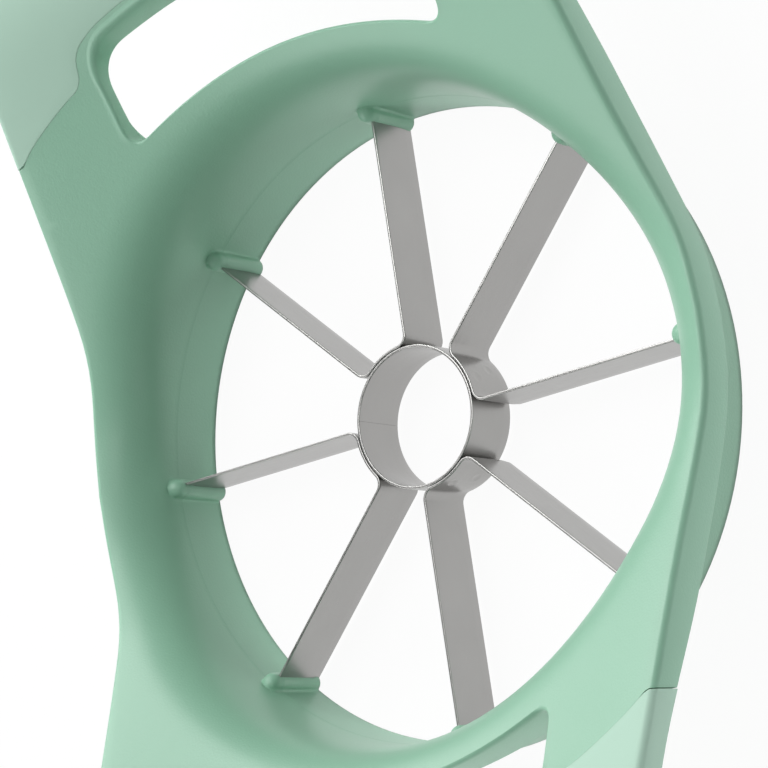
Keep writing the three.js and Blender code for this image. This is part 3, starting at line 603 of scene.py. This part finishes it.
class BoreWall:
    """The bore's wall and the flare, as rows of points from the foot up to the crest.

    Below the parting line the wall is a cone with a small draft. Above it each row lies at one turn
    t of the flare's superellipse: the height grows with sin(t) and the width with 1 - cos(t), both to
    the power of two over the fullness. A boss is rounded in at its foot, and narrows to nothing over
    its dome like a half ball.
    """

    def __init__(self, form, bosses, lines):
        self.form, self.bosses, self.lines = form, bosses, lines
        self.straight = form.blade_top + bosses.top - form.parting
        self.width, self.power = form.flare(np.abs(np.sin(lines.angles)))
        x, y = form.bore * np.cos(lines.angles), form.bore * np.sin(lines.angles)
        self.rise = form.face(x, y) - form.parting
        self.rows = []

    def grid(self):
        """All rows, as a grid of columns by rows."""
        self.foot_to_parting()
        self.parting_to_crest()
        return np.stack(self.rows, axis=1)

    def level_row(self, radius, z, extra=0.0):
        """A level row, with the bosses rounded in at their foot."""
        bosses = self.bosses
        foot = (1 - clamp01(z / bosses.foot_round)) * math.sin(bosses.foot_share * QUARTER)
        plan = wall_row(self.lines.table, bosses, radius, math.sqrt(1 - foot * foot), extra)[1]
        self.rows.append(np.column_stack((plan, np.full(len(plan), z))))

    def foot_to_parting(self):
        """The foot's rounded edge, the bosses' feet, the draft and the step at the parting line."""
        form, m = self.form, self.form.m
        f = m.foot_fillet
        for t in np.linspace(0, QUARTER, EDGE_ROWS):
            self.level_row(m.bore_radius + f * (1 - math.sin(t)), f * (1 - math.cos(t)))
        for share_up in BOSS_FOOT_SHARES:
            self.level_row(m.bore_radius, self.bosses.foot_round * share_up)
        self.level_row((m.bore_radius + form.bore) / 2, form.parting / 2)
        self.level_row(form.bore, form.parting - m.parting_ledge, m.bore_draft)
        self.level_row(form.bore - m.parting_ledge, form.parting, m.bore_draft)

    def turn_at(self, height):
        """The flare's turn at a height over the parting line."""
        return np.arcsin(np.minimum(1, height / self.rise) ** (self.power / 2))

    def flare_row(self, turn, scale):
        """A row at one turn of the flare, with the bosses scaled."""
        out = self.width * (1 - np.cos(turn) ** (2 / self.power))
        r = np.minimum(self.form.bore + out, self.lines.crest)
        wall, plan = wall_row(self.lines.table, self.bosses, r, scale, r - self.form.m.bore_radius)
        self.rows.append(np.column_stack((plan, self.form.top(*wall.T))))

    def parting_to_crest(self):
        """The bosses' straight sides and domes, and the bare flare over them."""
        dome = self.bosses.dome
        for share_up in BOSS_SIDE_SHARES:
            self.flare_row(self.turn_at(share_up * self.straight), 1.0)
        for t in np.linspace(0, QUARTER, 10):
            self.flare_row(self.turn_at(self.straight + dome * math.sin(t)), math.cos(t))
        first = self.turn_at(self.straight + dome)
        crest_out = (self.lines.crest - self.form.bore) / self.width
        last = np.arccos(np.clip(1 - crest_out, 0, 1) ** (self.power / 2))
        for t in np.linspace(0, 1, 24)[1:]:
            self.flare_row(mix(first, last, t), 0.0)


def rim_grid(lines, top, under, fillets):
    """A rounded rim: quarter ellipse at the top, wall, quarter ellipse at the bottom.

    The lines are the face's edge, the wall below the top fillet and the wall over the bottom one.
    A fillet without a radius is as high as it is wide.
    """
    t = np.linspace(0, QUARTER, RIM_ROWS)[None, :]
    halves = []
    for wall, height, fillet, sign in zip(lines[1:], (top, under), fillets, (-1, 1)):
        if fillet is None:
            fillet = np.linalg.norm(wall - lines[0], axis=1)
        radius = np.minimum(fillet, (top - under) * HALF_RIM_SHARE)[:, None]
        plan = lines[0][:, None] + (wall - lines[0])[:, None] * np.sin(t)[..., None]
        z = height[:, None] + sign * radius * (1 - np.cos(t))
        halves.append(np.concatenate((plan, z[..., None]), axis=-1))
    return np.concatenate((halves[0], halves[1][:, ::-1]), axis=1)


def between(a, b, rows, power=1.0):
    """Straight rows from line a to line b, gathered towards a by a power above one."""
    t = np.linspace(0, 1, rows) ** power
    return a[:, None] + (b - a)[:, None] * t[None, :, None]


class FrameLines:
    """The lines in plan that the frame and the grips share.

    The outer outline is kept as the face's edge, the wall, the recess's floor and the raised grip.
    All have the same points along their length, so one share finds points square to each other.
    """

    def __init__(self, form, bosses):
        self.outer_lines(form)
        self.slot_lines(form)
        self.bore_lines(form, bosses)
        self.grip_lines(form)

    def outer_lines(self, form):
        """The outer outline at its four depths, and the shares of its length at its points."""
        self.edge = form.outline(form.m.edge_fillet)
        self.wall = form.outline(0)
        self.core = form.outline(form.g.thickness)
        self.raised = form.outline(-form.g.proud)
        run = running_length(self.edge)
        self.marks = run / run[-1]

    def slot_lines(self, form):
        """The slot at its top edge, whose rounding is narrower at the ring, its wall and its foot."""
        m = form.m
        wide, narrow = form.slot(m.slot_fillet), form.slot(m.slot_fillet * m.ring_fillet)
        slot_middle = form.slot_ring_x + m.slot_length / 2
        off_ring = span(wide[:, :1], form.slot_ring_x - m.slot_fillet, slot_middle)
        self.slot_top = mix(narrow, wide, off_ring)
        self.slot_wall = form.slot(0)
        self.slot_low = form.slot(-m.slot_draft)

    def bore_lines(self, form, bosses):
        """The bore's columns, the flare's crest, and the column that links bore and arm."""
        self.table = bore_columns(form, bosses)
        self.angles = column_angles(form, bosses, self.table)
        beside_slot, beside_edge = self.slot_top[0, 0], self.edge[0, 1]
        self.crest = mix(beside_slot, beside_edge, np.sin(self.angles) ** 2) - form.m.crest_margin
        self.link = int(np.nonzero((self.table[:, 3] < 0) & (self.angles > ARM_PITCH))[0][0])
        edge_angles = np.arctan2(self.edge[:, 1], self.edge[:, 0])
        self.waist_shares = np.interp(-self.angles[self.link:][::-1], -edge_angles, self.marks)

    def grip_lines(self, form):
        """Shares of the outline along the arm and the handle, and the grip's edge across the face."""
        start_x = form.slot_ring_x - form.g.arm_back
        starts = (start_x, start_x + form.g.start_shift)
        grip_share, core_share = np.interp(starts, self.edge[:, 0], self.marks)
        even = np.linspace(0, 1, HANDLE_COLUMNS)
        self.arm_shares = np.linspace(self.waist_shares[-1], grip_share, ARM_COLUMNS)
        self.handle_shares = mix(grip_share, 1, even)
        self.core_shares = mix(core_share, 1, even)
        grip_line = form.grip_edge(self.at(self.core, core_share))
        self.grip_points = along(grip_line, even ** GRIP_GATHER_POWER)

    def at(self, line, shares):
        """Points of an outline that lie square to the face's edge at shares of its length."""
        return picked(line, self.marks, shares)


class SLICER_OT_frame(bpy.types.Operator):
    """Makes the moulded frame with its bore, flare, arms, handle loops, slots and bosses"""

    bl_idname = "slicer.frame"
    bl_label = "Moulded frame"

    def execute(self, context):
        scene = context.scene
        form, bosses = FrameForm(scene), scene.slicer_bosses
        lines = FrameLines(form, bosses)
        skin = Skin()
        bore_grid = BoreWall(form, bosses, lines).grid()
        skin.add(bore_grid, flip=True)
        self.skirt(skin, form, lines.angles, bore_grid[:, 0])
        self.faces(skin, form, lines, bore_grid[:, -1, :2])
        self.recess(skin, form, lines)
        mesh = skin.mirrored().mesh("frame_moulding")
        add_piece(mesh, plastic_material(scene.slicer_look), "frame_plastic", "frame")
        return {"FINISHED"}

    def skirt(self, skin, form, angles, foot_line):
        """Foot ring and skirt: straight up from the rounded foot, then a fillet to the underside."""
        m = form.m
        out = np.stack((np.cos(angles), np.sin(angles)), axis=1)
        out[-1, 0] = 0
        f, fillet = m.foot_fillet, m.skirt_fillet * mix(m.skirt_fillet_share, 1, out[:, 1] ** 2)
        self.under_line = out * (form.skirt + fillet)[:, None]
        under = form.under(*self.under_line.T)
        rings = [(form.skirt - f * (1 - math.sin(t)), f * (1 - math.cos(t)))
                 for t in np.linspace(0, QUARTER, EDGE_ROWS)]
        rings += [(form.skirt + fillet * (1 - math.sin(t)), under - fillet * (1 - math.cos(t)))
                  for t in np.linspace(QUARTER, 0, 6)]
        rows = [np.column_stack((out * np.reshape(r, (-1, 1)), np.broadcast_to(z, len(out))))
                for r, z in rings]
        skin.add(np.stack([foot_line] + rows, axis=1))

    def faces(self, skin, form, lines, crest_line):
        """Top and underside: rows from the crest to the outline, and from the slot to its loop."""
        link = lines.link
        waist = lines.at(lines.edge, lines.waist_shares)[::-1]
        waist[-1, 0] = 0
        arm = lines.at(lines.edge, lines.arm_shares)
        slot_edge = None
        inner_lines = (crest_line, self.under_line)
        for inner, height, on_top in zip(inner_lines, (form.top, form.under), (True, False)):
            beside_waist = between(inner[link:], waist, PATCH_ROWS)
            skin.add(heights(beside_waist, height), flip=on_top)
            join = between(inner[link:link + 1], arm[:1], PATCH_ROWS)[0]
            loop = np.vstack((inner[:link + 1], join[1:], arm[1:], lines.grip_points))
            if slot_edge is None:
                shares = self.slot_shares(lines, loop)
                slot_edge = along(lines.slot_top, shares)
                slot_edge[0, 1] = slot_edge[-1, 1] = 0
            round_slot = between(slot_edge, loop, rows=14, power=1.25)
            skin.add(heights(round_slot, height), flip=not on_top)
        self.slot_rim(skin, form, lines, slot_edge, shares)
        self.outer_rim(skin, form, lines)

    def slot_rim(self, skin, form, lines, slot_edge, shares):
        """Wall of the slot with its rounded edges."""
        slot = [slot_edge] + [along(line, shares) for line in (lines.slot_wall, lines.slot_low)]
        top, under = form.top(*slot_edge.T), form.under(*slot_edge.T)
        skin.add(rim_grid(slot, top, under, (None, form.m.under_fillet)), flip=True)

    def outer_rim(self, skin, form, lines):
        """Outer wall from the waist to the grip, with its rounded edges."""
        shares = np.concatenate((lines.waist_shares, lines.arm_shares[1:]))
        edge, wall = lines.at(lines.edge, shares), lines.at(lines.wall, shares)
        edge[0, 0] = wall[0, 0] = 0
        fillets = (form.m.edge_fillet, form.m.under_fillet)
        self.rim = rim_grid((edge, wall, wall), form.top(*edge.T), form.under(*edge.T), fillets)
        skin.add(self.rim)

    def slot_shares(self, lines, loop):
        """Shares of the slot's line that face the loop round it: mostly its nearest points."""
        marks = np.linspace(0, 1, SLOT_MARKS)
        gaps = np.linalg.norm(loop[:, None] - along(lines.slot_top, marks)[None], axis=2)
        nearest = np.maximum.accumulate(marks[np.argmin(gaps, axis=1)])
        shares = mix(np.linspace(0, 1, len(loop)), nearest, NEAREST_SHARE)
        shares[0], shares[-1] = 0, 1
        return shares

    def recess(self, skin, form, lines):
        """Recess under a grip: the handle moved in on all sides, and the steps down to it."""
        depth = form.g.thickness
        outer = lines.at(lines.core, lines.core_shares)
        outer[-1, 1] = 0
        border = lines.grip_points
        floor = between(border, outer, 9)
        top = heights(floor, lambda x, y: form.top(x, y) - depth)
        under = heights(floor, lambda x, y: form.under(x, y) + depth)
        skin.add(top)
        skin.add(under, flip=True)
        skin.add(np.stack((top[:, -1], under[:, -1]), axis=1))
        full_top, full_under = heights(border, form.top), heights(border, form.under)
        skin.add(np.stack((full_top, top[:, 0]), axis=1))
        skin.add(np.stack((under[:, 0], full_under), axis=1))
        section = np.vstack((full_top[:1], self.rim[-1], full_under[:1]))
        half = len(section) // 2
        step = np.vstack((np.repeat(top[:1, 0], half, axis=0), np.repeat(under[:1, 0], half, axis=0)))
        skin.add(np.stack((section, step), axis=0))


class SLICER_OT_grips(bpy.types.Operator):
    """Makes the two soft grips that wrap the outer side of the handle loops"""

    bl_idname = "slicer.grips"
    bl_label = "Soft grips"

    def execute(self, context):
        scene = context.scene
        form = FrameForm(scene)
        half = self.half_grip(form, FrameLines(form, scene.slicer_bosses))
        material = grip_material(scene.slicer_look)
        for side, name in ((1, "right"), (-1, "left")):
            grip = half.mirrored(((side, 1), (side, -1)))
            add_piece(grip.mesh(f"grip_cover_{name}"), material, "grip_soft", f"grip_{name}")
        return {"FINISHED"}

    def plan_lines(self, form, lines):
        """A half grip's lines in plan: face's edge, wall, recess, lip, and the way in from the lip."""
        g = form.g
        shares = mix(lines.handle_shares, 1, g.end_gap_share)
        edge, wall = (lines.at(line, shares) for line in (lines.edge, lines.raised))
        core = lines.at(lines.core, mix(lines.core_shares, 1, g.end_gap_share))
        edge[-1, 1] = wall[-1, 1] = core[-1, 1] = 0
        border = lines.grip_points.copy()
        border[0] = core[0]
        inward = edge - border
        inward[0] = inward[1]
        inward /= np.linalg.norm(inward, axis=1)[:, None]
        lip = border + inward * g.gap
        lip[0] = border[0]
        return edge, wall, core, lip, inward

    def half_grip(self, form, lines):
        """Half of a grip: its section runs over the face, round the wall and under the handle.

        The outer side is the frame's own surface raised by a small amount, its edges are quarter
        circles, and the inner side lies on the recess.
        """
        g, m = form.g, form.m
        seat = g.thickness - g.seat_gap
        edge, wall, core, lip, inward = self.plan_lines(form, lines)
        round_width = np.minimum(g.edge_round, np.linalg.norm(edge - lip, axis=1) / 2)[:, None]
        turns = np.linspace(0, QUARTER, 5)
        plans = np.stack([lip + inward * round_width * (1 - math.cos(t)) for t in turns], axis=1)
        face = between(plans[:, -1], edge, 12)[:, 1:-1]
        inner_plan = between(lip, core, 8)
        inner_plan[0] = core[0]
        outer, inner = [], []
        for height, sign in ((form.top, 1), (form.under, -1)):
            lip_rows = heights(plans, height)
            lip_rows[..., 2] += sign * (g.proud - g.edge_round * (1 - np.sin(turns)))
            face_rows = heights(face, height) + (0, 0, sign * g.proud)
            outer.append(np.concatenate((lip_rows, face_rows), axis=1))
            inner.append(heights(inner_plan, height) - (0, 0, sign * seat))
        top, under = form.top(*edge.T) + g.proud, form.under(*edge.T) - g.proud
        rim = rim_grid((edge, wall, wall), top, under, (m.edge_fillet, m.under_fillet))
        section = np.concatenate((outer[0], rim, outer[1][:, ::-1],
                                  inner[1], inner[0][:, ::-1], outer[0][:, :1]), axis=1)
        skin = Skin()
        skin.add(section)
        self.cap(skin, section[0])
        return skin

    def cap(self, skin, loop):
        """Closes the grip's end with thin quads between the two halves of its section."""
        half = len(loop) // 2
        skin.add(np.stack((loop[half:][::-1], loop[:half + 1]), axis=0))


def strip_section(thickness, steel):
    """Section of a strip on edge as (off, height): ground foot and two softly rounded top edges."""
    half, land = thickness / 2, steel.edge_land / 2
    top = steel.strip_lift + steel.strip_width
    grind = steel.strip_lift + steel.grind_height
    r = half * steel.top_round_share
    t = np.linspace(0, QUARTER, EDGE_ROWS)
    corner = np.stack((half - r + r * np.cos(t), top - r + r * np.sin(t)), axis=1)
    side_heights = np.linspace(grind, top - r, SIDE_ROWS)[:-1]
    side = np.stack((np.full(len(side_heights), half), side_heights), axis=1)
    right = np.vstack(([land, steel.strip_lift], side, corner))
    left = right[::-1] * (-1, 1)
    return np.vstack((right, left))


def swept_strip(path, normals, thickness, steel, marks=None):
    """A section carried along a plan path, closed at both ends; marks shift points along normals."""
    section = strip_section(thickness, steel)
    off = np.tile(section[:, 0], (len(path), 1))
    height = np.tile(section[:, 1], (len(path), 1))
    if marks is not None:
        off += marks(height)
    plan = path[:, None] + normals[:, None] * off[..., None]
    grid = np.concatenate((plan, height[..., None]), axis=-1)
    grid = np.concatenate((grid, grid[:, :1]), axis=1)
    skin = Skin()
    skin.add(grid)
    half = len(section) // 2
    for end, flip in ((grid[0], False), (grid[-1], True)):
        skin.add(np.stack((end[half:2 * half][::-1], end[:half]), axis=0), flip=flip)
    return skin


def circle_points(centre, radius, angles, outward):
    """Points and normals of an arc."""
    out = np.stack((np.cos(angles), np.sin(angles)), axis=1)
    return centre + out * radius, out * outward


def half_strip(steel, end_radius):
    """Half of a blade strip in plan, with its normals: hold on the core, bend, and arm along X.

    The hold is an arc round the core. The bend is an arc that touches the hold from outside and
    the arm's line, so its middle is one bend radius off both.
    """
    hold = steel.core_diameter / 2 + steel.weld_gap + steel.strip_thickness / 2
    distance = hold + steel.bend_radius
    lateral = steel.arm_offset - steel.bend_radius
    bend = math.asin(lateral / distance)
    centre = np.array([distance * math.cos(bend), lateral])
    hold_angles = np.linspace(-ARM_PITCH / 2, bend, 24)[:-1]
    bend_angles = np.linspace(bend + math.pi, QUARTER, 12)
    hold_line, hold_out = circle_points(np.zeros(2), hold, hold_angles, 1)
    bend_line, bend_out = circle_points(centre, steel.bend_radius, bend_angles, -1)
    arm_x = np.linspace(bend_line[-1, 0], end_radius, 14)[1:]
    arm = np.stack((arm_x, np.full(len(arm_x), bend_line[-1, 1])), axis=1)
    arm_out = np.repeat(bend_out[-1:], len(arm_x), axis=0)
    return np.vstack((hold_line, bend_line, arm)), np.vstack((hold_out, bend_out, arm_out))


def turned(points, angle):
    """Plan points turned about the axis."""
    c, s = math.cos(angle), math.sin(angle)
    return points @ np.array([[c, s], [-s, c]])


class SLICER_OT_blades(bpy.types.Operator):
    """Makes the four blade strips, each bent to two arms with a hold that is welded to the core"""

    bl_idname = "slicer.blades"
    bl_label = "Blade strips"

    def execute(self, context):
        scene = context.scene
        steel = scene.slicer_steel
        material = steel_material(scene.slicer_look)
        end = scene.slicer_moulding.bore_radius - steel.arm_end_inset
        for k in range(ARMS // 2):
            first, second = 2 * k * ARM_PITCH, (2 * k + 1) * ARM_PITCH
            line, normals = (
                np.vstack((turned(half[1:][::-1] * (1, -1), first), turned(half, second)))
                for half in half_strip(steel, end))
            marks = self.weld_marks(steel, line)
            skin = swept_strip(line, normals, steel.strip_thickness, steel, marks)
            add_piece(skin.mesh(f"blade_arms_{k + 1}"), material, "blade_steel", f"blade_strip_{k + 1}")
        return {"FINISHED"}

    def weld_marks(self, steel, line):
        """Two spot welds on the hold: round hollows with a slight collar, by distance from each."""
        run = running_length(line)
        centre = run[len(run) // 2]
        top = steel.strip_lift + steel.strip_width
        spots = ((centre - steel.weld_side, top - steel.upper_weld),
                 (centre + steel.weld_side, top - steel.lower_weld))

        def shift(height):
            """Collar less hollow at each weld, both as bell curves of the distance."""
            total = np.zeros_like(height)
            for s, z in spots:
                d = np.hypot(run[:, None] - s, height - z) / steel.weld_radius
                collar = np.exp(-((d - COLLAR_PLACE) * COLLAR_NARROWNESS) ** 2)
                hollow = np.exp(-d * d * HOLLOW_NARROWNESS)
                total += steel.weld_depth * (steel.collar_share * collar - hollow)
            return total

        return shift


class SLICER_OT_core(bpy.types.Operator):
    """Makes the hollow core, a strip rolled to a tube with its seam left open a little"""

    bl_idname = "slicer.core"
    bl_label = "Core tube"

    def execute(self, context):
        scene = context.scene
        steel = scene.slicer_steel
        radius = steel.core_diameter / 2 - steel.core_wall / 2
        half = steel.seam_gap / 2 / radius
        angles = steel.seam_angle + np.linspace(half, 2 * math.pi - half, CORE_COLUMNS)
        path, out = circle_points(np.zeros(2), radius, angles, 1)
        skin = swept_strip(path, out, steel.core_wall, steel)
        add_piece(skin.mesh("core_tube"), steel_material(scene.slicer_look), "blade_steel", "core_ring")
        return {"FINISHED"}


def new_material(name, base, roughness, metallic=0.0):
    """A material and its shader with the main values set; no shader where the material exists."""
    material = bpy.data.materials.get(name)
    if material:
        return material, None
    material = bpy.data.materials.new(name)
    material.use_nodes = True
    shader = material.node_tree.nodes["Principled BSDF"]
    shader.inputs["Base Color"].default_value = (*base, 1)
    shader.inputs["Roughness"].default_value = roughness
    shader.inputs["Metallic"].default_value = metallic
    return material, shader


def object_noise(material, scale, detail, stretch=(1, 1, 1)):
    """Noise on object coordinates, as fine as scale per metre."""
    nodes, links = material.node_tree.nodes, material.node_tree.links
    place = nodes.new("ShaderNodeTexCoord")
    mapping = nodes.new("ShaderNodeMapping")
    mapping.inputs["Scale"].default_value = stretch
    noise = nodes.new("ShaderNodeTexNoise")
    noise.inputs["Scale"].default_value = scale
    noise.inputs["Detail"].default_value = detail
    links.new(place.outputs["Object"], mapping.inputs["Vector"])
    links.new(mapping.outputs["Vector"], noise.inputs["Vector"])
    return noise.outputs["Fac"]


def roughened(material, shader, value, roughness, less, more):
    """Roughness that drifts with a value from a little less to a little more."""
    node = material.node_tree.nodes.new("ShaderNodeMapRange")
    node.inputs["To Min"].default_value = roughness - less
    node.inputs["To Max"].default_value = roughness + more
    material.node_tree.links.new(value, node.inputs["Value"])
    material.node_tree.links.new(node.outputs["Result"], shader.inputs["Roughness"])


def grained(material, shader, height, strength):
    """Fine grain as bump from a height."""
    node = material.node_tree.nodes.new("ShaderNodeBump")
    node.inputs["Strength"].default_value = strength
    node.inputs["Distance"].default_value = GRAIN_DEPTH
    material.node_tree.links.new(height, node.inputs["Height"])
    material.node_tree.links.new(node.outputs["Normal"], shader.inputs["Normal"])


def tinted(material, shader, base, value, low, high):
    """Base colour that drifts with a value from a little darker to a little lighter."""
    nodes, links = material.node_tree.nodes, material.node_tree.links
    ramp = nodes.new("ShaderNodeMix")
    ramp.data_type = "RGBA"
    ramp.inputs["A"].default_value = (*[c * low for c in base], 1)
    ramp.inputs["B"].default_value = (*[min(1, c * high) for c in base], 1)
    links.new(value, ramp.inputs["Factor"])
    links.new(ramp.outputs["Result"], shader.inputs["Base Color"])


def plastic_material(look):
    """Satin moulded plastic with a fine spark texture."""
    material, shader = new_material("satin_green_plastic", look.plastic, look.plastic_roughness)
    if shader:
        drift = object_noise(material, scale=45, detail=2)
        grain = object_noise(material, scale=2600, detail=1)
        tinted(material, shader, look.plastic, drift, low=0.985, high=1.015)
        roughened(material, shader, grain, look.plastic_roughness, less=0.04, more=0.05)
        grained(material, shader, grain, strength=0.3)
        shader.inputs["Specular IOR Level"].default_value = look.plastic_shine
    return material


def grip_material(look):
    """Soft overmoulded rubber, lighter and matter than the frame."""
    material, shader = new_material("soft_green_rubber", look.grip, look.grip_roughness)
    if shader:
        drift = object_noise(material, scale=60, detail=2)
        grain = object_noise(material, scale=4200, detail=2)
        tinted(material, shader, look.grip, drift, low=0.985, high=1.015)
        grained(material, shader, grain, strength=0.12)
        shader.inputs["Specular IOR Level"].default_value = look.grip_shine
    return material


def steel_material(look):
    """Rolled strip steel: fine lines along the strip, a slight drift of tone and a satin shine."""
    material, shader = new_material("rolled_blade_steel", look.steel, look.steel_roughness, metallic=1.0)
    if shader:
        lines = object_noise(material, scale=260, detail=3, stretch=(1, 1, 14))
        drift = object_noise(material, scale=90, detail=3)
        tinted(material, shader, look.steel, drift, low=0.94, high=1.05)
        roughened(material, shader, lines, look.steel_roughness, less=0.06, more=0.08)
        grained(material, shader, lines, strength=0.03)
    return material


def combined(tree, operation, first, second):
    """A math node on a value and on another value or a plain number."""
    node = tree.nodes.new("ShaderNodeMath")
    node.operation = operation
    tree.links.new(first, node.inputs[0])
    if isinstance(second, float):
        node.inputs[1].default_value = second
    else:
        tree.links.new(second, node.inputs[1])
    return node.outputs["Value"]


def floor_material(look):
    """Pale floor that keeps the object's shadow, and shows white to the camera and in reflections."""
    material = bpy.data.materials.new("pale_floor")
    material.use_nodes = True
    tree = material.node_tree
    shader = tree.nodes["Principled BSDF"]
    shader.inputs["Base Color"].default_value = (*look.floor, 1)
    shader.inputs["Roughness"].default_value = 0.9
    glow = tree.nodes.new("ShaderNodeEmission")
    glow.inputs["Color"].default_value = (1, 1, 1, 1)
    path = tree.nodes.new("ShaderNodeLightPath")
    seen = combined(tree, "MAXIMUM", path.outputs["Is Camera Ray"], path.outputs["Is Glossy Ray"])
    seen = combined(tree, "MAXIMUM", seen, path.outputs["Is Transmission Ray"])
    mixed = tree.nodes.new("ShaderNodeMixShader")
    tree.links.new(combined(tree, "MULTIPLY", seen, look.floor_glow), mixed.inputs["Fac"])
    tree.links.new(shader.outputs["BSDF"], mixed.inputs[1])
    tree.links.new(glow.outputs["Emission"], mixed.inputs[2])
    tree.links.new(mixed.outputs["Shader"], tree.nodes["Material Output"].inputs["Surface"])
    return material


class SLICER_OT_stage(bpy.types.Operator):
    """Makes the floor, the lamps, the world and the camera"""

    bl_idname = "slicer.stage"
    bl_label = "Stage"

    def execute(self, context):
        scene = context.scene
        self.floor(scene)
        self.world(scene)
        self.lamps(scene)
        self.camera(scene)
        scene.view_settings.view_transform = "Standard"
        return {"FINISHED"}

    def floor(self, scene):
        """A square floor at the foot's height."""
        mesh = bpy.data.meshes.new("floor")
        corners = [(x * FLOOR_HALF, y * FLOOR_HALF, 0) for x, y in ((-1, -1), (1, -1), (1, 1), (-1, 1))]
        mesh.from_pydata(corners, [], [(0, 1, 2, 3)])
        mesh.materials.append(floor_material(scene.slicer_look))
        floor = bpy.data.objects.new("floor", mesh)
        scene.collection.objects.link(floor)

    def world(self, scene):
        """A little even light from all around."""
        scene.world = bpy.data.worlds.new("studio")
        scene.world.use_nodes = True
        background = scene.world.node_tree.nodes["Background"]
        background.inputs["Color"].default_value = (1, 1, 1, 1)
        background.inputs["Strength"].default_value = scene.slicer_look.world_light

    def lamps(self, scene):
        """Softboxes turned to the object, and a light table under it that shines upwards."""
        for name, place, size, watts in LAMPS:
            data = bpy.data.lights.new(name, "AREA")
            data.shape = "SQUARE"
            data.size = size
            data.energy = watts
            lamp = bpy.data.objects.new(name, data)
            lamp.location = place
            lamp.rotation_euler = (-Vector(place)).to_track_quat("-Z", "Y").to_euler()
            lamp.visible_camera = False
            if name == LIGHT_TABLE:
                lamp.rotation_euler = (math.pi, 0, 0)
                lamp.visible_glossy = False
            scene.collection.objects.link(lamp)

    def camera(self, scene):
        """The photograph's camera: an aim point, a distance, two angles and a roll."""
        data = bpy.data.cameras.new("photo_camera")
        data.lens = CAMERA_LENS
        data.sensor_width = CAMERA_SENSOR
        azimuth, elevation, roll = (math.radians(v) for v in CAMERA_ANGLES)
        flat = math.cos(elevation)
        back = Vector((math.cos(azimuth) * flat, math.sin(azimuth) * flat, math.sin(elevation)))
        level = Vector((0, 0, 1)).cross(back).normalized()
        right = level * math.cos(roll) + back.cross(level) * math.sin(roll)
        turn = Matrix((right, back.cross(right), back)).transposed().to_4x4()
        camera = bpy.data.objects.new("photo_camera", data)
        place = Vector(CAMERA_AIM) * MM + back * CAMERA_DISTANCE * MM
        camera.matrix_world = Matrix.Translation(place) @ turn
        scene.collection.objects.link(camera)
        scene.camera = camera


class SLICER_PT_panel(bpy.types.Panel):
    """Buttons that make the slicer piece by piece"""

    bl_idname = "SLICER_PT_panel"
    bl_label = "Apple slicer"
    bl_space_type = "VIEW_3D"
    bl_region_type = "UI"
    bl_category = "Slicer"

    def draw(self, context):
        layout = self.layout
        for operator in OPERATORS:
            layout.operator(operator.bl_idname)
        for group in PROPERTY_GROUPS:
            box = layout.box()
            box.label(text=group.__doc__.rstrip("."))
            values = getattr(context.scene, PROPERTY_GROUPS[group])
            for name in group.__annotations__:
                box.prop(values, name)


PROPERTY_GROUPS = {
    SlicerSteel: "slicer_steel",
    SlicerMoulding: "slicer_moulding",
    SlicerBosses: "slicer_bosses",
    SlicerGrips: "slicer_grips",
    SlicerLook: "slicer_look",
}
OPERATORS = (SLICER_OT_frame, SLICER_OT_grips, SLICER_OT_core, SLICER_OT_blades, SLICER_OT_stage)


def register():
    """Registers the classes and gives the scene its property groups."""
    for group, name in PROPERTY_GROUPS.items():
        bpy.utils.register_class(group)
        setattr(bpy.types.Scene, name, PointerProperty(type=group))
    for operator in OPERATORS:
        bpy.utils.register_class(operator)
    bpy.utils.register_class(SLICER_PT_panel)


def unregister():
    """Takes the classes and the property groups away again."""
    bpy.utils.unregister_class(SLICER_PT_panel)
    for operator in reversed(OPERATORS):
        bpy.utils.unregister_class(operator)
    for group, name in PROPERTY_GROUPS.items():
        delattr(bpy.types.Scene, name)
        bpy.utils.unregister_class(group)


def main():
    """Makes the whole slicer."""
    register()
    bpy.ops.slicer.frame()
    bpy.ops.slicer.grips()
    bpy.ops.slicer.core()
    bpy.ops.slicer.blades()
    bpy.ops.slicer.stage()


if __name__ == "__main__":
    main()
